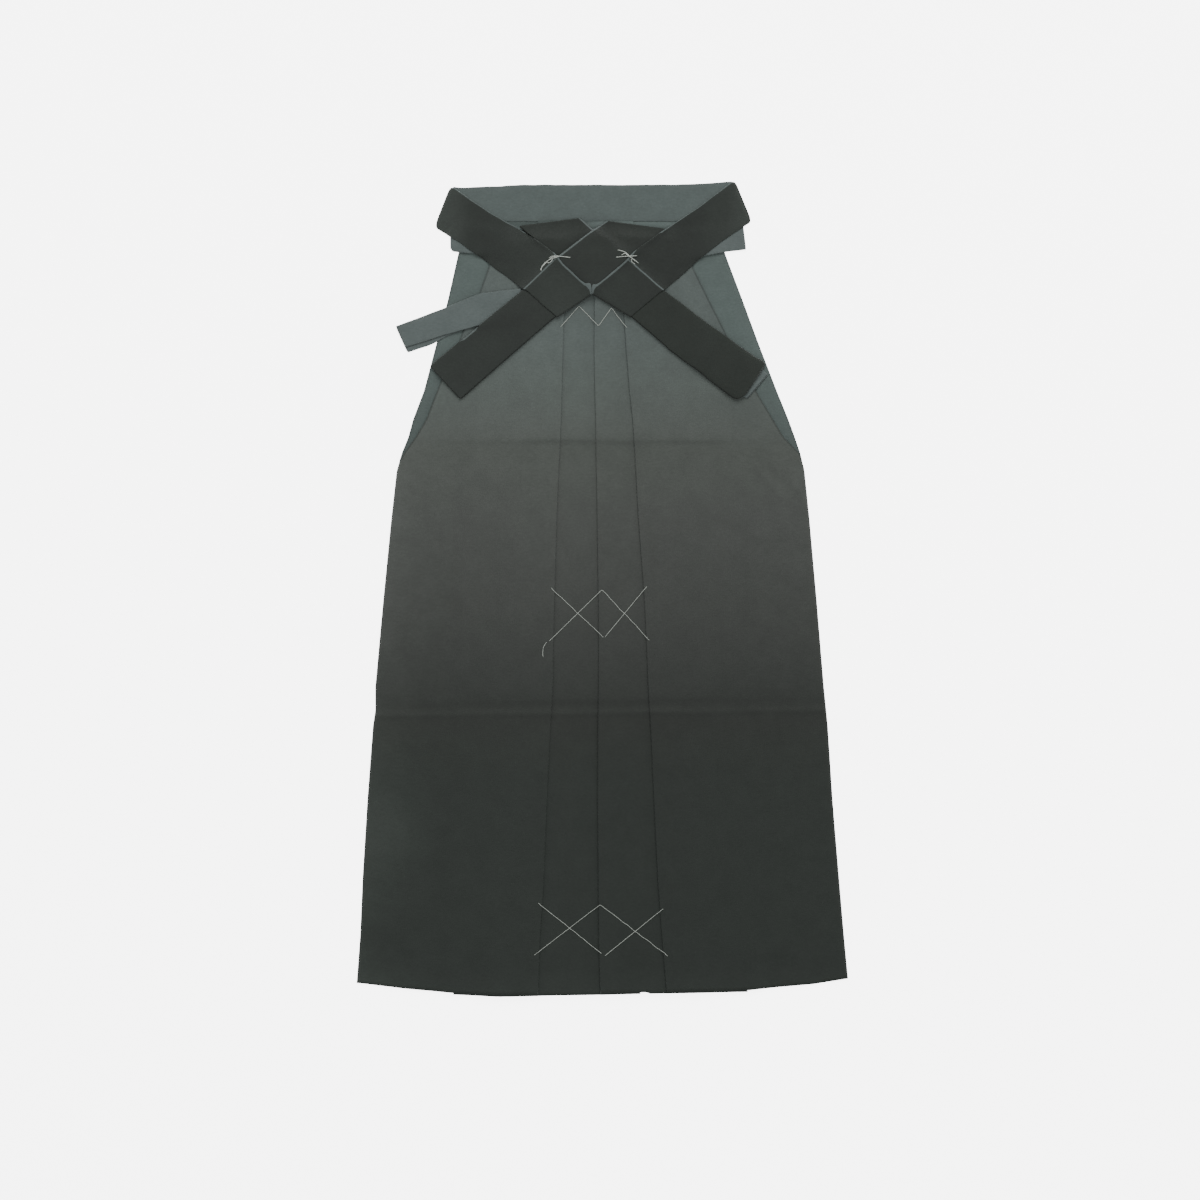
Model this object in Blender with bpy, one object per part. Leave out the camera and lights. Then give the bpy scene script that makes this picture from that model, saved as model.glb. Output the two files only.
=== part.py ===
"""Pleated hakama trousers for a woman, laid flat with the front up and the waist ties put away.

The cloth panels are walls folded along their pleats.  The ties are bundles and strips that cross in
a lattice over the waist.  Metres, +Z up, waist towards +Y.  The outside of the back lies on Z = 0.
Tables and sizes below are in millimetres.
"""

import math
from collections import namedtuple

import bmesh
import bpy
import numpy as np
from mathutils import Vector
from mathutils.bvhtree import BVHTree

MM = 0.001
WALL = 1.0
GAP = 0.3
LEVEL = WALL + GAP
BAND_WALL = 1.6

# Where the side edges and the folds of the panels run, from the waist down to the hem.
# A fold is seen from the front.  A tuck is the hidden end of the cloth folded in behind it.
Section = namedtuple(
    "Section",
    "y back_left front_left left_tuck box_left left_fold centre_fold centre_tuck right_fold"
    " box_right right_tuck front_right back_right",
)
SECTIONS = (
    Section(463, -172, -132, -108, -80, -45, -11, 1, 20, 38, 78, 98, 138),
    Section(440, -177, -132, -108, -82, -45, -11, 1, 20, 40, 78, 98, 146),
    Section(410, -184, -142, -115, -84, -46, -11, 3, 23, 43, 87, 112, 157),
    Section(365, -195, -158, -125, -86, -48, -10, 7, 26, 47, 101, 134, 177),
    Section(308, -210, -183, -137, -89, -49.5, -10.5, 10, 29.5, 52, 118, 163, 198),
    Section(251, -225, -208, -147, -92, -51, -9.5, 12, 34, 57, 132, 193, 220),
    Section(214, -239, -222, -152, -94, -52, -8.5, 14, 38, 60, 138, 215, 235),
    Section(192, -245, -235, -154, -95, -53, -8, 14, 39.5, 62, 141, 228, 243),
    Section(170, -252, -249, -156, -96, -54, -8, 15, 41, 64, 143, 248, 249),
    Section(151, -257, -257, -158, -97, -55, -7.5, 16, 42, 66, 145, 253, 253),
    Section(88, -266, -266, -163, -100, -57.5, -6.5, 19, 45.5, 71, 150, 261, 261),
    Section(-13, -276, -276, -166, -105, -60.5, -5, 23, 53, 80, 154, 270, 270),
    Section(-122, -286, -286, -170, -110, -63, -4.5, 28, 58, 89, 159, 279, 279),
    Section(-152, -286, -286, -172, -112, -64.5, -4.5, 29, 60, 92, 160, 282, 282),
    Section(-172, -289, -289, -172, -113, -65.5, -4.5, 30, 61, 94, 161, 284, 284),
    Section(-265, -296, -296, -176, -117, -70, -5.5, 35, 65, 102, 167, 290, 290),
    Section(-366, -302, -302, -181, -122, -74, -4.5, 40, 70, 111, 173, 298, 298),
    Section(-442, -305, -305, -184, -126, -79, -4, 44, 75.5, 117, 178, 304, 304),
    Section(-507, -309.5, -309.5, -187, -129, -81, -2, 47, 81, 123, 182, 309.5, 309.5),
)

# The hem sags from both side seams to the middle.
HemPoint = namedtuple("HemPoint", "x y")
HEM = (
    HemPoint(-307, -495.5),
    HemPoint(-249, -502.5),
    HemPoint(-190, -507),
    HemPoint(-129, -509.5),
    HemPoint(-66, -510.5),
    HemPoint(-2, -509.5),
    HemPoint(51, -508.5),
    HemPoint(80, -506.5),
    HemPoint(183, -504),
    HemPoint(224, -500),
    HemPoint(266, -495.5),
    HemPoint(309, -488.5),
)
HEM_BASE = -507.0
HEM_SWAY_FROM = -190.0
HIDDEN_HEM_DROP = 2.0
BACK_HEM_LIFT = 2.0
SEAM_INSET = 0.6

# Two soft ridges lie across the whole skirt where it was folded for storage.
Ridge = namedtuple("Ridge", "y height lower_reach upper_reach")
RIDGES = (
    Ridge(y=192, height=2.4, lower_reach=11, upper_reach=22),
    Ridge(y=-152, height=2.2, lower_reach=10, upper_reach=20),
)

# Cloth slopes down beside the layers of a pleat.
RAMP = 40.0
TUCK_RAMP = 24.0
RAMP_CLEARANCE = 2.5
BOX_CREASE_GAP = 1.0

FRONT_ROWS = (
    440, 410, 365, 308, 262, 225, 205, 197, 192, 187, 180, 165, 151, 88, -13,
    -90, -125, -142, -152, -160, -172, -200, -265, -366, -442, -480, -507,
)
BACK_ROWS = (
    463, 440, 410, 365, 308, 251, 214, 192, 170,
    151, 88, -13, -122, -172, -265, -366, -442, -507,
)

# Each strip is a run of cross lines.  The upper side is the one nearer the waist.
Line = namedtuple("Line", "upper_x upper_y lower_x lower_y")
RIGHT_BUNDLE = (
    Line(-27.5, 466, -102.5, 456),
    Line(-11.5, 453.5, -56.5, 421.5),
    Line(34.5, 416.5, -8, 375),
    Line(75, 382.5, 40, 341.5),
    Line(123, 344, 89, 297),
    Line(194.5, 292.5, 158, 245.5),
    Line(203.5, 286, 171, 240),
    Line(204, 278, 180, 246),
)
LEFT_BUNDLE = (
    Line(4.5, 463.5, 81, 457),
    Line(-11.5, 453, 36, 426.5),
    Line(-57.5, 417.5, -12.5, 374),
    Line(-98.5, 379, -59, 343),
    Line(-154.5, 332, -118, 291.5),
    Line(-215.5, 281, -178, 240.5),
)
LEFT_CROSSING = (
    Line(-189.5, 505, -208.5, 460),
    Line(-147, 478.5, -177, 437),
    Line(-102, 451, -143, 414),
    Line(-58.5, 420, -98.5, 379),
    Line(-16.5, 371.3, -58, 343.6),
)
RIGHT_CROSSING = (
    Line(165, 512.5, 185, 464.5),
    Line(120, 481, 153, 440.5),
    Line(77.5, 452, 120, 415),
    Line(37.5, 424.5, 78, 379),
    Line(-7, 374.3, 36.5, 344),
)
LEFT_TAIL = (
    Line(-259, 331, -244.5, 299),
    Line(-201, 354, -188.5, 320),
    Line(-154, 373, -140.5, 338.5),
    Line(-114, 389, -99, 353.5),
)
RIGHT_TAIL = (
    Line(148, 324, 116, 281.5),
    Line(207, 273, 180.5, 242.5),
)
LEFT_TURNBACK = (
    Line(-188.5, 458, -189.5, 426.5),
    Line(-134.5, 452, -141.5, 420),
)
RIGHT_TURNBACK = (
    Line(178.5, 458, 179.5, 429.5),
    Line(112, 450.5, 112, 415.5),
)
FRONT_BAND = (
    Line(-132.5, 453, -132.5, 419.5),
    Line(110.5, 451, 110.5, 415.5),
)
BACK_BAND = (
    Line(-187.5, 503.5, -205.5, 463.5),
    Line(-116.5, 508, -116.5, 463.3),
    Line(163, 511, 182, 463.3),
)

# How a strip is laid: the spacing of its cross lines, the spaces across it, how far round each point
# it feels for cloth below, and how many times it is drawn taut.
Laying = namedtuple("Laying", "spacing across reach tautness")
BACK_BAND_LAYING = Laying(spacing=60, across=2, reach=0, tautness=0)
FRONT_BAND_LAYING = Laying(spacing=12, across=3, reach=6, tautness=4)
TURNBACK_LAYING = Laying(spacing=18, across=2, reach=20, tautness=0)
TAIL_LAYING = Laying(spacing=14, across=2, reach=7, tautness=6)
BUNDLE_LAYING = Laying(spacing=12, across=4, reach=9, tautness=10)
CROSSING_LAYING = Laying(spacing=7, across=4, reach=7.5, tautness=3)
TUCK_LAYING = Laying(spacing=10, across=4, reach=5, tautness=0)

# The front ties are put away folded in three layers, the left end of a back tie in two.
BUNDLE_HEIGHT = 3.6
BUNDLE_LAYERS = 3
TAIL_HEIGHT = 2.4
TAIL_LAYERS = 2
TAIL_PEEK = 5.0
GROOVE = 0.6
NOSE = 1.0

# A back tie turns round a bundle's edge and tucks in beneath it.
WRAP_DEPTH = 10.0
WRAP_CENTRE = 1.0
WRAP_ROOM = 0.9
CROSSING_SLACK = 0.4

TURN_ANGLES = (-45, 0, 45)
WRAP_ANGLES = (90, 60, 30, 0, -30, -60, -90)
SHARP_ANGLE = 40
PROBE_HEIGHT = 100.0
PROBE_DIRECTIONS = 12

DYED_GREEN = (0.105, 0.125, 0.118)
DEEP_GREEN = (0.034, 0.041, 0.036)
PALE_GREEN = (0.135, 0.163, 0.155)


def clear_scene():
    for old in list(bpy.data.objects):
        bpy.data.objects.remove(old, do_unlink=True)


def cloth_material(name, colour):
    material = bpy.data.materials.new(name)
    material.use_nodes = True
    shader = material.node_tree.nodes["Principled BSDF"]
    shader.inputs["Base Color"].default_value = (*colour, 1.0)
    shader.inputs["Roughness"].default_value = 0.85
    shader.inputs["Metallic"].default_value = 0.0
    return material


def add_piece(name, bm, colour):
    """One named piece from a finished mesh, with its own cloth material."""
    mesh = bpy.data.meshes.new(name)
    bm.to_mesh(mesh)
    bm.free()
    mesh.materials.append(cloth_material(name + "_cloth", colour))
    piece = bpy.data.objects.new(name, mesh)
    bpy.context.collection.objects.link(piece)
    mesh.shade_smooth()
    mesh.set_sharp_from_angle(angle=math.radians(SHARP_ANGLE))
    return piece


def add_sheet(name, rows, colour, wall=WALL):
    """Cloth through rows of points on the middle of its wall."""
    columns = len(rows[0]) - 1
    last_row = len(rows) - 1
    bm = bmesh.new()
    bmesh.ops.create_grid(bm, x_segments=columns, y_segments=last_row, size=1.0)
    for vert in bm.verts:
        column = round((vert.co.x + 1.0) / 2.0 * columns)
        row = round((vert.co.y + 1.0) / 2.0 * last_row)
        vert.co = Vector(rows[row][column]) * MM
    piece = add_piece(name, bm, colour)
    thicken = piece.modifiers.new("wall", "SOLIDIFY")
    thicken.thickness = wall * MM
    thicken.offset = 0.0
    return piece


def add_loft(name, rings, colour):
    """A closed body through rings of points, capped at both ends."""
    bm = bmesh.new()
    loops = []
    for ring in rings:
        verts = [bm.verts.new(Vector(point) * MM) for point in ring]
        loops.append([bm.edges.new((verts[i - 1], verts[i])) for i in range(len(verts))])
    for first, second in zip(loops, loops[1:]):
        bmesh.ops.bridge_loops(bm, edges=first + second)
    bmesh.ops.holes_fill(bm, edges=loops[0] + loops[-1], sides=0)
    bmesh.ops.triangulate(bm, faces=bm.faces[:])
    bmesh.ops.recalc_face_normals(bm, faces=bm.faces[:])
    return add_piece(name, bm, colour)


# ---- Panels ------------------------------------------------------------------------------------


def section_at(y):
    """The section table read at any height, as one Section."""
    heights = [row.y for row in reversed(SECTIONS)]
    values = [
        float(np.interp(y, heights, [getattr(row, field) for row in reversed(SECTIONS)]))
        for field in Section._fields
    ]
    return Section(*values)


def hem_sway(x, y):
    """How far cloth at this place is drawn up or down by the curve of the hem."""
    share = min(max((HEM_SWAY_FROM - y) / (HEM_SWAY_FROM - HEM_BASE), 0.0), 1.0)
    hem_y = float(np.interp(x, [point.x for point in HEM], [point.y for point in HEM]))
    return share * share * (hem_y - HEM_BASE)


def ridge_height(y):
    """Height of the storage ridges, steeper on the side towards the hem."""
    height = 0.0
    for ridge in RIDGES:
        reach = ridge.upper_reach if y > ridge.y else ridge.lower_reach
        height += ridge.height * math.exp(-(((y - ridge.y) / reach) ** 2))
    return height


def back_height(section, x):
    """Middle of cloth that lies on the back panel: it climbs over the back's box pleat."""
    stops = (
        section.box_left - ramp_width(section.left_tuck, section.box_left),
        section.box_left,
        section.box_right,
        section.box_right + ramp_width(section.box_right, section.right_tuck),
    )
    levels = (LEVEL, 3 * LEVEL, 3 * LEVEL, LEVEL)
    return WALL / 2 + float(np.interp(x, stops, levels))


def ramp_width(start, end):
    """Width of the slope beside the box pleat, where another fold leaves less than the full width."""
    return min(RAMP, end - start - 2 * RAMP_CLEARANCE)


def turn(x, low, high, side, rising):
    """Cloth turned back on itself at x: three points round the fold, bulging towards side."""
    radius = LEVEL / 2
    middle = (low + high) / 2 * LEVEL
    points = []
    for angle in TURN_ANGLES if rising else reversed(TURN_ANGLES):
        turned = math.radians(angle)
        points.append((x + side * radius * math.cos(turned), middle + radius * math.sin(turned)))
    return points


def fold_edge(x, side):
    """Where the turn starts, so that the outside of the folded wall reaches x."""
    return x - side * (LEVEL / 2 + WALL / 2)


def front_profile(section):
    """The front panel cut across: places along x with a height above the lowest layer."""
    left_fold = fold_edge(section.left_fold, 1)
    centre_fold = fold_edge(section.centre_fold, -1)
    right_fold = fold_edge(section.right_fold, -1)
    left_base = section.box_left - ramp_width(section.left_tuck, section.box_left)
    right_base = section.box_right + ramp_width(section.box_right, section.right_tuck)
    left_foot = max(section.left_tuck - TUCK_RAMP - RAMP_CLEARANCE, section.front_left + RAMP_CLEARANCE)
    left_top = section.left_tuck - RAMP_CLEARANCE
    right_top = section.right_tuck + RAMP_CLEARANCE
    right_foot = min(section.right_tuck + TUCK_RAMP + RAMP_CLEARANCE, section.front_right - RAMP_CLEARANCE)
    step_top = section.centre_tuck + RAMP_CLEARANCE
    step_foot = right_fold - 2 * RAMP_CLEARANCE
    top = 2 * LEVEL

    points = [(section.front_left, 0), ((section.front_left + left_foot) / 2, 0)]
    points += [(left_foot, 0), (left_top, top), (left_base, top), (section.box_left, top)]
    points += [(left_fold, top)]
    points += turn(left_fold, 1, 2, side=1, rising=False)
    points += [(left_fold, LEVEL), (section.box_left, LEVEL), (left_base, LEVEL)]
    points += [(section.left_tuck, LEVEL)]
    points += turn(section.left_tuck, 0, 1, side=-1, rising=False)
    points += [(section.left_tuck, 0), (left_base, 0), (section.box_left, 0)]
    points += [(centre_fold, 0), (section.centre_tuck, 0)]
    points += turn(section.centre_tuck, 0, 1, side=1, rising=True)
    points += [(section.centre_tuck, LEVEL), (centre_fold, LEVEL)]
    points += turn(centre_fold, 1, 2, side=-1, rising=True)
    points += [(centre_fold, top), (step_top, top), (step_foot, 0), (section.box_right, 0)]
    points += [(right_base, 0), (section.right_tuck, 0)]
    points += turn(section.right_tuck, 0, 1, side=1, rising=True)
    points += [(section.right_tuck, LEVEL), (right_base, LEVEL), (section.box_right, LEVEL)]
    points += [(right_fold, LEVEL)]
    points += turn(right_fold, 1, 2, side=-1, rising=True)
    points += [(right_fold, top), (section.box_right, top), (right_base, top), (right_top, top)]
    points += [(right_foot, 0), ((right_foot + section.front_right) / 2, 0), (section.front_right, 0)]
    return points


def build_front_panel():
    """One width of cloth with three pleats; their hidden ends show as a step at the hem."""
    rows = []
    for y in FRONT_ROWS:
        section = section_at(y)
        row = []
        for x, height in front_profile(section):
            folded = section.left_tuck - LEVEL < x < section.right_tuck + LEVEL
            hidden = folded and height < 1.5 * LEVEL
            drop = HIDDEN_HEM_DROP if hidden and y <= FRONT_ROWS[-1] else 0.0
            z = back_height(section, x) + height + ridge_height(y)
            row.append((x, y + hem_sway(x, y) - drop, z))
        rows.append(row)
    add_sheet("front_panel", rows, DYED_GREEN)
    return rows


def back_profile(section):
    """The back panel cut across: two folds meet over a hidden box, its middle layer on top."""
    left = fold_edge(section.centre_fold - BOX_CREASE_GAP, 1)
    right = fold_edge(section.centre_fold + BOX_CREASE_GAP, -1)
    outer_left = section.back_left + SEAM_INSET
    outer_right = section.back_right - SEAM_INSET
    points = [(outer_left, 0), ((outer_left + section.box_left) / 2, 0), (section.box_left, 0), (left, 0)]
    points += turn(left, 0, 1, side=1, rising=True)
    points += [(left, LEVEL), (section.box_left, LEVEL)]
    points += turn(section.box_left, 1, 2, side=-1, rising=True)
    points += [(section.box_left, 2 * LEVEL), (left, 2 * LEVEL), (right, 2 * LEVEL)]
    points += [(section.box_right, 2 * LEVEL)]
    points += turn(section.box_right, 1, 2, side=1, rising=False)
    points += [(section.box_right, LEVEL), (right, LEVEL)]
    points += turn(right, 0, 1, side=-1, rising=False)
    points += [(right, 0), (section.box_right, 0), ((outer_right + section.box_right) / 2, 0)]
    points += [(outer_right, 0)]
    return points


def build_back_panel():
    """The back lies with its outside on the floor, so that side stays flat."""
    rows = []
    for y in BACK_ROWS:
        row = []
        for x, height in back_profile(section_at(y)):
            lift = BACK_HEM_LIFT if y <= BACK_ROWS[-1] else 0.0
            row.append((x, y + hem_sway(x, y) + lift, WALL / 2 + height))
        rows.append(row)
    add_sheet("back_panel", rows, DYED_GREEN)
    return rows


# ---- Cloth resting on cloth ----------------------------------------------------------------------


class Pile:
    """The upper faces of the pieces laid down so far."""

    def __init__(self):
        self.layers = {}

    def lay(self, name, rows, lift):
        """Remember a piece by rows of points and the height of its upper face above them."""
        columns = len(rows[0])
        points = [Vector(point) for row in rows for point in row]
        faces = []
        for r in range(len(rows) - 1):
            for c in range(columns - 1):
                corner = r * columns + c
                faces.append((corner, corner + 1, corner + columns + 1, corner + columns))
        self.layers[name] = (BVHTree.FromPolygons(points, faces), lift)

    def top(self, x, y, names):
        """Height of the highest of the named pieces at one place."""
        height = 0.0
        for name in names:
            tree, lift = self.layers[name]
            place = tree.ray_cast(Vector((x, y, PROBE_HEIGHT)), Vector((0, 0, -1)))[0]
            if place is not None:
                height = max(height, place.z + lift)
        return height

    def heights_near(self, x, y, names, reach):
        """Heights here and on two circles round here, the larger one at the full reach."""
        heights = [self.top(x, y, names)]
        for step in range(PROBE_DIRECTIONS):
            angle = step * math.tau / PROBE_DIRECTIONS
            for radius in (reach / 2, reach):
                near_x = x + radius * math.cos(angle)
                near_y = y + radius * math.sin(angle)
                heights.append(self.top(near_x, near_y, names))
        return heights

    def top_near(self, x, y, names, reach):
        """The highest of them, so that a coarse mesh stays clear of edges below it."""
        return max(self.heights_near(x, y, names, reach))

    def lowest_near(self, x, y, name, reach):
        """The lowest of them that lies on the named piece."""
        return min(height for height in self.heights_near(x, y, (name,), reach) if height > 0)


def plan_of(strip, laying):
    """Points of a strip seen from above: rows along the strip, each with its points across."""
    lines = []
    for start, end in zip(strip, strip[1:]):
        upper = math.dist(start[:2], end[:2])
        lower = math.dist(start[2:], end[2:])
        steps = max(1, round(max(upper, lower) / laying.spacing))
        for step in range(steps):
            lines.append(np.array(start) + (np.array(end) - np.array(start)) * step / steps)
    lines.append(np.array(strip[-1]))
    shares = [column / laying.across for column in range(laying.across + 1)]
    return [[tuple(line[:2] * (1 - share) + line[2:] * share) for share in shares] for line in lines]


def rest(strip, laying, pile, names):
    """Lay a strip on the named pieces: a gap above them, and drawn taut between high places."""
    plan = plan_of(strip, laying)
    floor = np.array([[pile.top_near(x, y, names, laying.reach) + GAP for x, y in line] for line in plan])
    height = floor.copy()
    for _ in range(laying.tautness):
        padded = np.pad(height, 1, mode="edge")
        around = (padded[:-2, 1:-1] + padded[2:, 1:-1] + padded[1:-1, :-2] + padded[1:-1, 2:]) / 4
        height = np.maximum(floor, around)
    return [[(x, y, z) for (x, y), z in zip(line, heights)] for line, heights in zip(plan, height)]


def raised(rows, lift):
    return [[(x, y, z + lift) for x, y, z in row] for row in rows]


# ---- Bands ---------------------------------------------------------------------------------------


def build_bands(pile):
    """The back band lies beyond the back's top edge; the front band covers the tops of the pleats."""
    back = [[(x, y, BAND_WALL / 2) for x, y in line] for line in plan_of(BACK_BAND, BACK_BAND_LAYING)]
    add_sheet("back_waistband", back, PALE_GREEN, BAND_WALL)
    pile.lay("back_waistband", back, BAND_WALL / 2)

    bottom = rest(FRONT_BAND, FRONT_BAND_LAYING, pile, ("back_panel", "front_panel"))
    front = raised(bottom, WALL / 2)
    add_sheet("front_waistband", front, DEEP_GREEN)
    pile.lay("front_waistband", front, WALL / 2)


# ---- Ties ----------------------------------------------------------------------------------------


def build_turnback(name, strip, side, pile):
    """A front tie leaves the band, turns back at its outer end and shows its pale inside."""
    lower = raised(rest(strip, TURNBACK_LAYING, pile, ("back_panel",)), WALL / 2)
    middle = LEVEL / 2
    turned = []
    for angle in TURN_ANGLES:
        swing = math.radians(angle)
        out = side * middle * math.cos(swing)
        rise = middle + middle * math.sin(swing)
        turned.append([(x + out, y, z + rise) for x, y, z in lower[0]])
    upper = raised(lower, LEVEL)
    rows = lower[::-1] + turned + upper
    add_sheet(name, rows, PALE_GREEN)
    pile.lay(name, upper, WALL / 2)


def bundle_ring(line, height, layers, peek):
    """Outline of a folded bundle cut across: flat above and below, one nose for each layer.

    The lowest layer peeks out past the others at the lower side.
    """
    upper = Vector(line[0])
    lower = Vector(line[-1])
    across = (lower - upper).to_2d().normalized()
    across = Vector((across.x, across.y, 0))
    layer = height / layers

    def side(edge, outward, extra):
        """Points up one side, from the lowest layer to the highest."""
        points = []
        for index in range(layers):
            reach = extra * (1 - index / max(layers - 1, 1))
            nose = edge + outward * reach
            points.append(nose + Vector((0, 0, (index + 0.5) * layer)))
            if index < layers - 1:
                groove = edge + outward * (reach / 2 - GROOVE)
                points.append(groove + Vector((0, 0, (index + 1) * layer)))
        return points

    middle = [Vector(point) for point in line[1:-1]]
    start = upper + across * NOSE
    top_end = lower - across * NOSE
    end = top_end + across * peek
    up = Vector((0, 0, height))
    ring = [start, *middle, end]
    ring += side(lower, across, peek)
    ring += [top_end + up, *[point + up for point in reversed(middle)], start + up]
    ring += reversed(side(upper, -across, 0.0))
    return ring


def build_bundle(name, rows, height, layers, colour, peeks=None):
    """A tie folded to and fro, as one body with its layers showing at both sides."""
    peeks = peeks or [0.0] * len(rows)
    rings = [bundle_ring(row, height, layers, peek) for row, peek in zip(rows, peeks)]
    add_loft(name, rings, colour)


def wrap_rows(edge_line, inward, bundle, pile):
    """Rows of a strip that turns round a bundle's edge and tucks in beneath it."""
    rise = BUNDLE_HEIGHT / 2 + WRAP_ROOM + WALL / 2
    reach = WRAP_CENTRE + WRAP_ROOM + WALL / 2
    middles = [
        pile.top(x + inward.x * WRAP_CENTRE, y + inward.y * WRAP_CENTRE, (bundle,)) - BUNDLE_HEIGHT / 2
        for x, y in edge_line
    ]
    rows = []
    for angle in WRAP_ANGLES:
        swing = math.radians(angle)
        out = reach * math.cos(swing) - WRAP_CENTRE
        rows.append(
            [
                (x - inward.x * out, y - inward.y * out, middle + rise * math.sin(swing))
                for (x, y), middle in zip(edge_line, middles)
            ]
        )
    hidden = [(x + inward.x * WRAP_DEPTH, y + inward.y * WRAP_DEPTH) for x, y in edge_line]
    drop = BUNDLE_HEIGHT + WRAP_ROOM + WALL / 2
    rows.append([(x, y, pile.lowest_near(x, y, bundle, WRAP_DEPTH) - drop) for x, y in hidden])
    return rows


def tuck_of(strip):
    """The part of a crossing strip that lies hidden beneath the bundle it wraps."""
    last = strip[-1]
    inward = strip_inward(strip) * WRAP_DEPTH
    tucked = Line(
        last.upper_x + inward.x, last.upper_y + inward.y, last.lower_x + inward.x, last.lower_y + inward.y
    )
    return (last, tucked)


def strip_inward(strip):
    """Direction in plan from a strip's last line back towards where it came from."""
    last = strip[-1]
    before = strip[-2]
    here = Vector(((last.upper_x + last.lower_x) / 2, (last.upper_y + last.lower_y) / 2))
    there = Vector(((before.upper_x + before.lower_x) / 2, (before.upper_y + before.lower_y) / 2))
    return (there - here).normalized()


def build_crossing(name, strip, bundle, names, pile):
    """A back tie: from its fold at the band's end, over a bundle, round its edge and under it."""
    bottom = rest(strip, CROSSING_LAYING, pile, names + (bundle,))
    over = raised(bottom, WALL / 2 + CROSSING_SLACK)
    start = [[(x, y, BAND_WALL / 2) for x, y, _ in over[0]]]
    edge_line = [(x, y) for x, y, _ in over[-1]]
    wrap = wrap_rows(edge_line, strip_inward(strip), bundle, pile)
    rows = start + over[:-1] + wrap
    add_sheet(name, rows, DEEP_GREEN)
    pile.lay(name, over, WALL / 2)


def build_ties(pile):
    """The lattice, from the lowest stretch to the highest."""
    body = ("back_panel", "front_panel")
    waist = body + ("front_waistband", "back_waistband")
    build_turnback("front_tie_left_turnback", LEFT_TURNBACK, -1, pile)
    build_turnback("front_tie_right_turnback", RIGHT_TURNBACK, 1, pile)

    tail = rest(LEFT_TAIL, TAIL_LAYING, pile, body)
    peeks = [TAIL_PEEK * (1 - r / (len(tail) - 1)) for r in range(len(tail))]
    build_bundle("back_tie_left_tail", tail, TAIL_HEIGHT, TAIL_LAYERS, PALE_GREEN, peeks)
    pile.lay("left_tail", tail, TAIL_HEIGHT)

    right_tail = raised(rest(RIGHT_TAIL, TAIL_LAYING, pile, body), WALL / 2)
    add_sheet("back_tie_right_tail", right_tail, PALE_GREEN)
    pile.lay("right_tail", right_tail, WALL / 2)

    for side, strip in (("left", LEFT_CROSSING), ("right", RIGHT_CROSSING)):
        hidden = rest(tuck_of(strip), TUCK_LAYING, pile, body)
        pile.lay(side + "_tuck", hidden, WALL + 2 * WRAP_ROOM)

    turnbacks = ("front_tie_left_turnback", "front_tie_right_turnback")
    below = waist + ("right_tail", "right_tuck", "left_tuck")
    rows = rest(RIGHT_BUNDLE, BUNDLE_LAYING, pile, below)
    build_bundle("front_tie_right_bundle", rows, BUNDLE_HEIGHT, BUNDLE_LAYERS, DEEP_GREEN)
    pile.lay("front_tie_right_bundle", rows, BUNDLE_HEIGHT)

    below = waist + ("left_tail", "left_tuck", "front_tie_right_bundle")
    rows = rest(LEFT_BUNDLE, BUNDLE_LAYING, pile, below)
    build_bundle("front_tie_left_bundle", rows, BUNDLE_HEIGHT, BUNDLE_LAYERS, DEEP_GREEN)
    pile.lay("front_tie_left_bundle", rows, BUNDLE_HEIGHT)

    low = waist + turnbacks
    build_crossing(
        "back_tie_left_crossing", LEFT_CROSSING, "front_tie_left_bundle", low + ("left_tail",), pile
    )
    build_crossing("back_tie_right_crossing", RIGHT_CROSSING, "front_tie_right_bundle", low, pile)


def build():
    clear_scene()
    pile = Pile()
    pile.lay("back_panel", build_back_panel(), WALL / 2)
    pile.lay("front_panel", build_front_panel(), WALL / 2)
    build_bands(pile)
    build_ties(pile)


build()
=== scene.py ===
import math
from collections import namedtuple

import bmesh
import bpy
import numpy as np
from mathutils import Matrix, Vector, noise
from mathutils.bvhtree import BVHTree


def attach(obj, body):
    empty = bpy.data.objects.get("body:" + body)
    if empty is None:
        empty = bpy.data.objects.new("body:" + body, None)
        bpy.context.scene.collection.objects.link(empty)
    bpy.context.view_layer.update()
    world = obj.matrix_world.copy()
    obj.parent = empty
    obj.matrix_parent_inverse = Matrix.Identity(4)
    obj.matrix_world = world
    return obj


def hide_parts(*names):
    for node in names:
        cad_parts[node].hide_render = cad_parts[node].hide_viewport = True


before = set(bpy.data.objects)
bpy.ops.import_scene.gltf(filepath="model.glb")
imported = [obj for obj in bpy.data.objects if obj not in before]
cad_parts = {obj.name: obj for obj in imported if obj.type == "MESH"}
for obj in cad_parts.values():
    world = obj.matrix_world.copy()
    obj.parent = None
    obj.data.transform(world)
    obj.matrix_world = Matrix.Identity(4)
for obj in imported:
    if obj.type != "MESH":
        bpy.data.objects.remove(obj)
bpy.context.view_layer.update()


# ---- Studio ------------------------------------------
# A plain pale floor.  One large soft light stands beyond the waist and a weaker one hangs overhead,
# so that upper edges are lit and lower edges fall into shade.  The camera hangs straight above the
# garment, far off, with a long lens.

PICTURE_SIDE = 1.512
PICTURE_CENTRE = (-0.003, -0.013)
CAMERA_HEIGHT = 6.0
FLOOR_SIDE = 14.0


def placed(name, data):
    """A new object in the scene."""
    made = bpy.data.objects.new(name, data)
    bpy.context.collection.objects.link(made)
    return made


camera_lens = bpy.data.cameras.new("camera")
camera_lens.sensor_width = 36.0
camera_lens.lens = camera_lens.sensor_width * CAMERA_HEIGHT / PICTURE_SIDE
camera = placed("camera", camera_lens)
camera.location = (*PICTURE_CENTRE, CAMERA_HEIGHT)
bpy.context.scene.camera = camera


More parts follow.
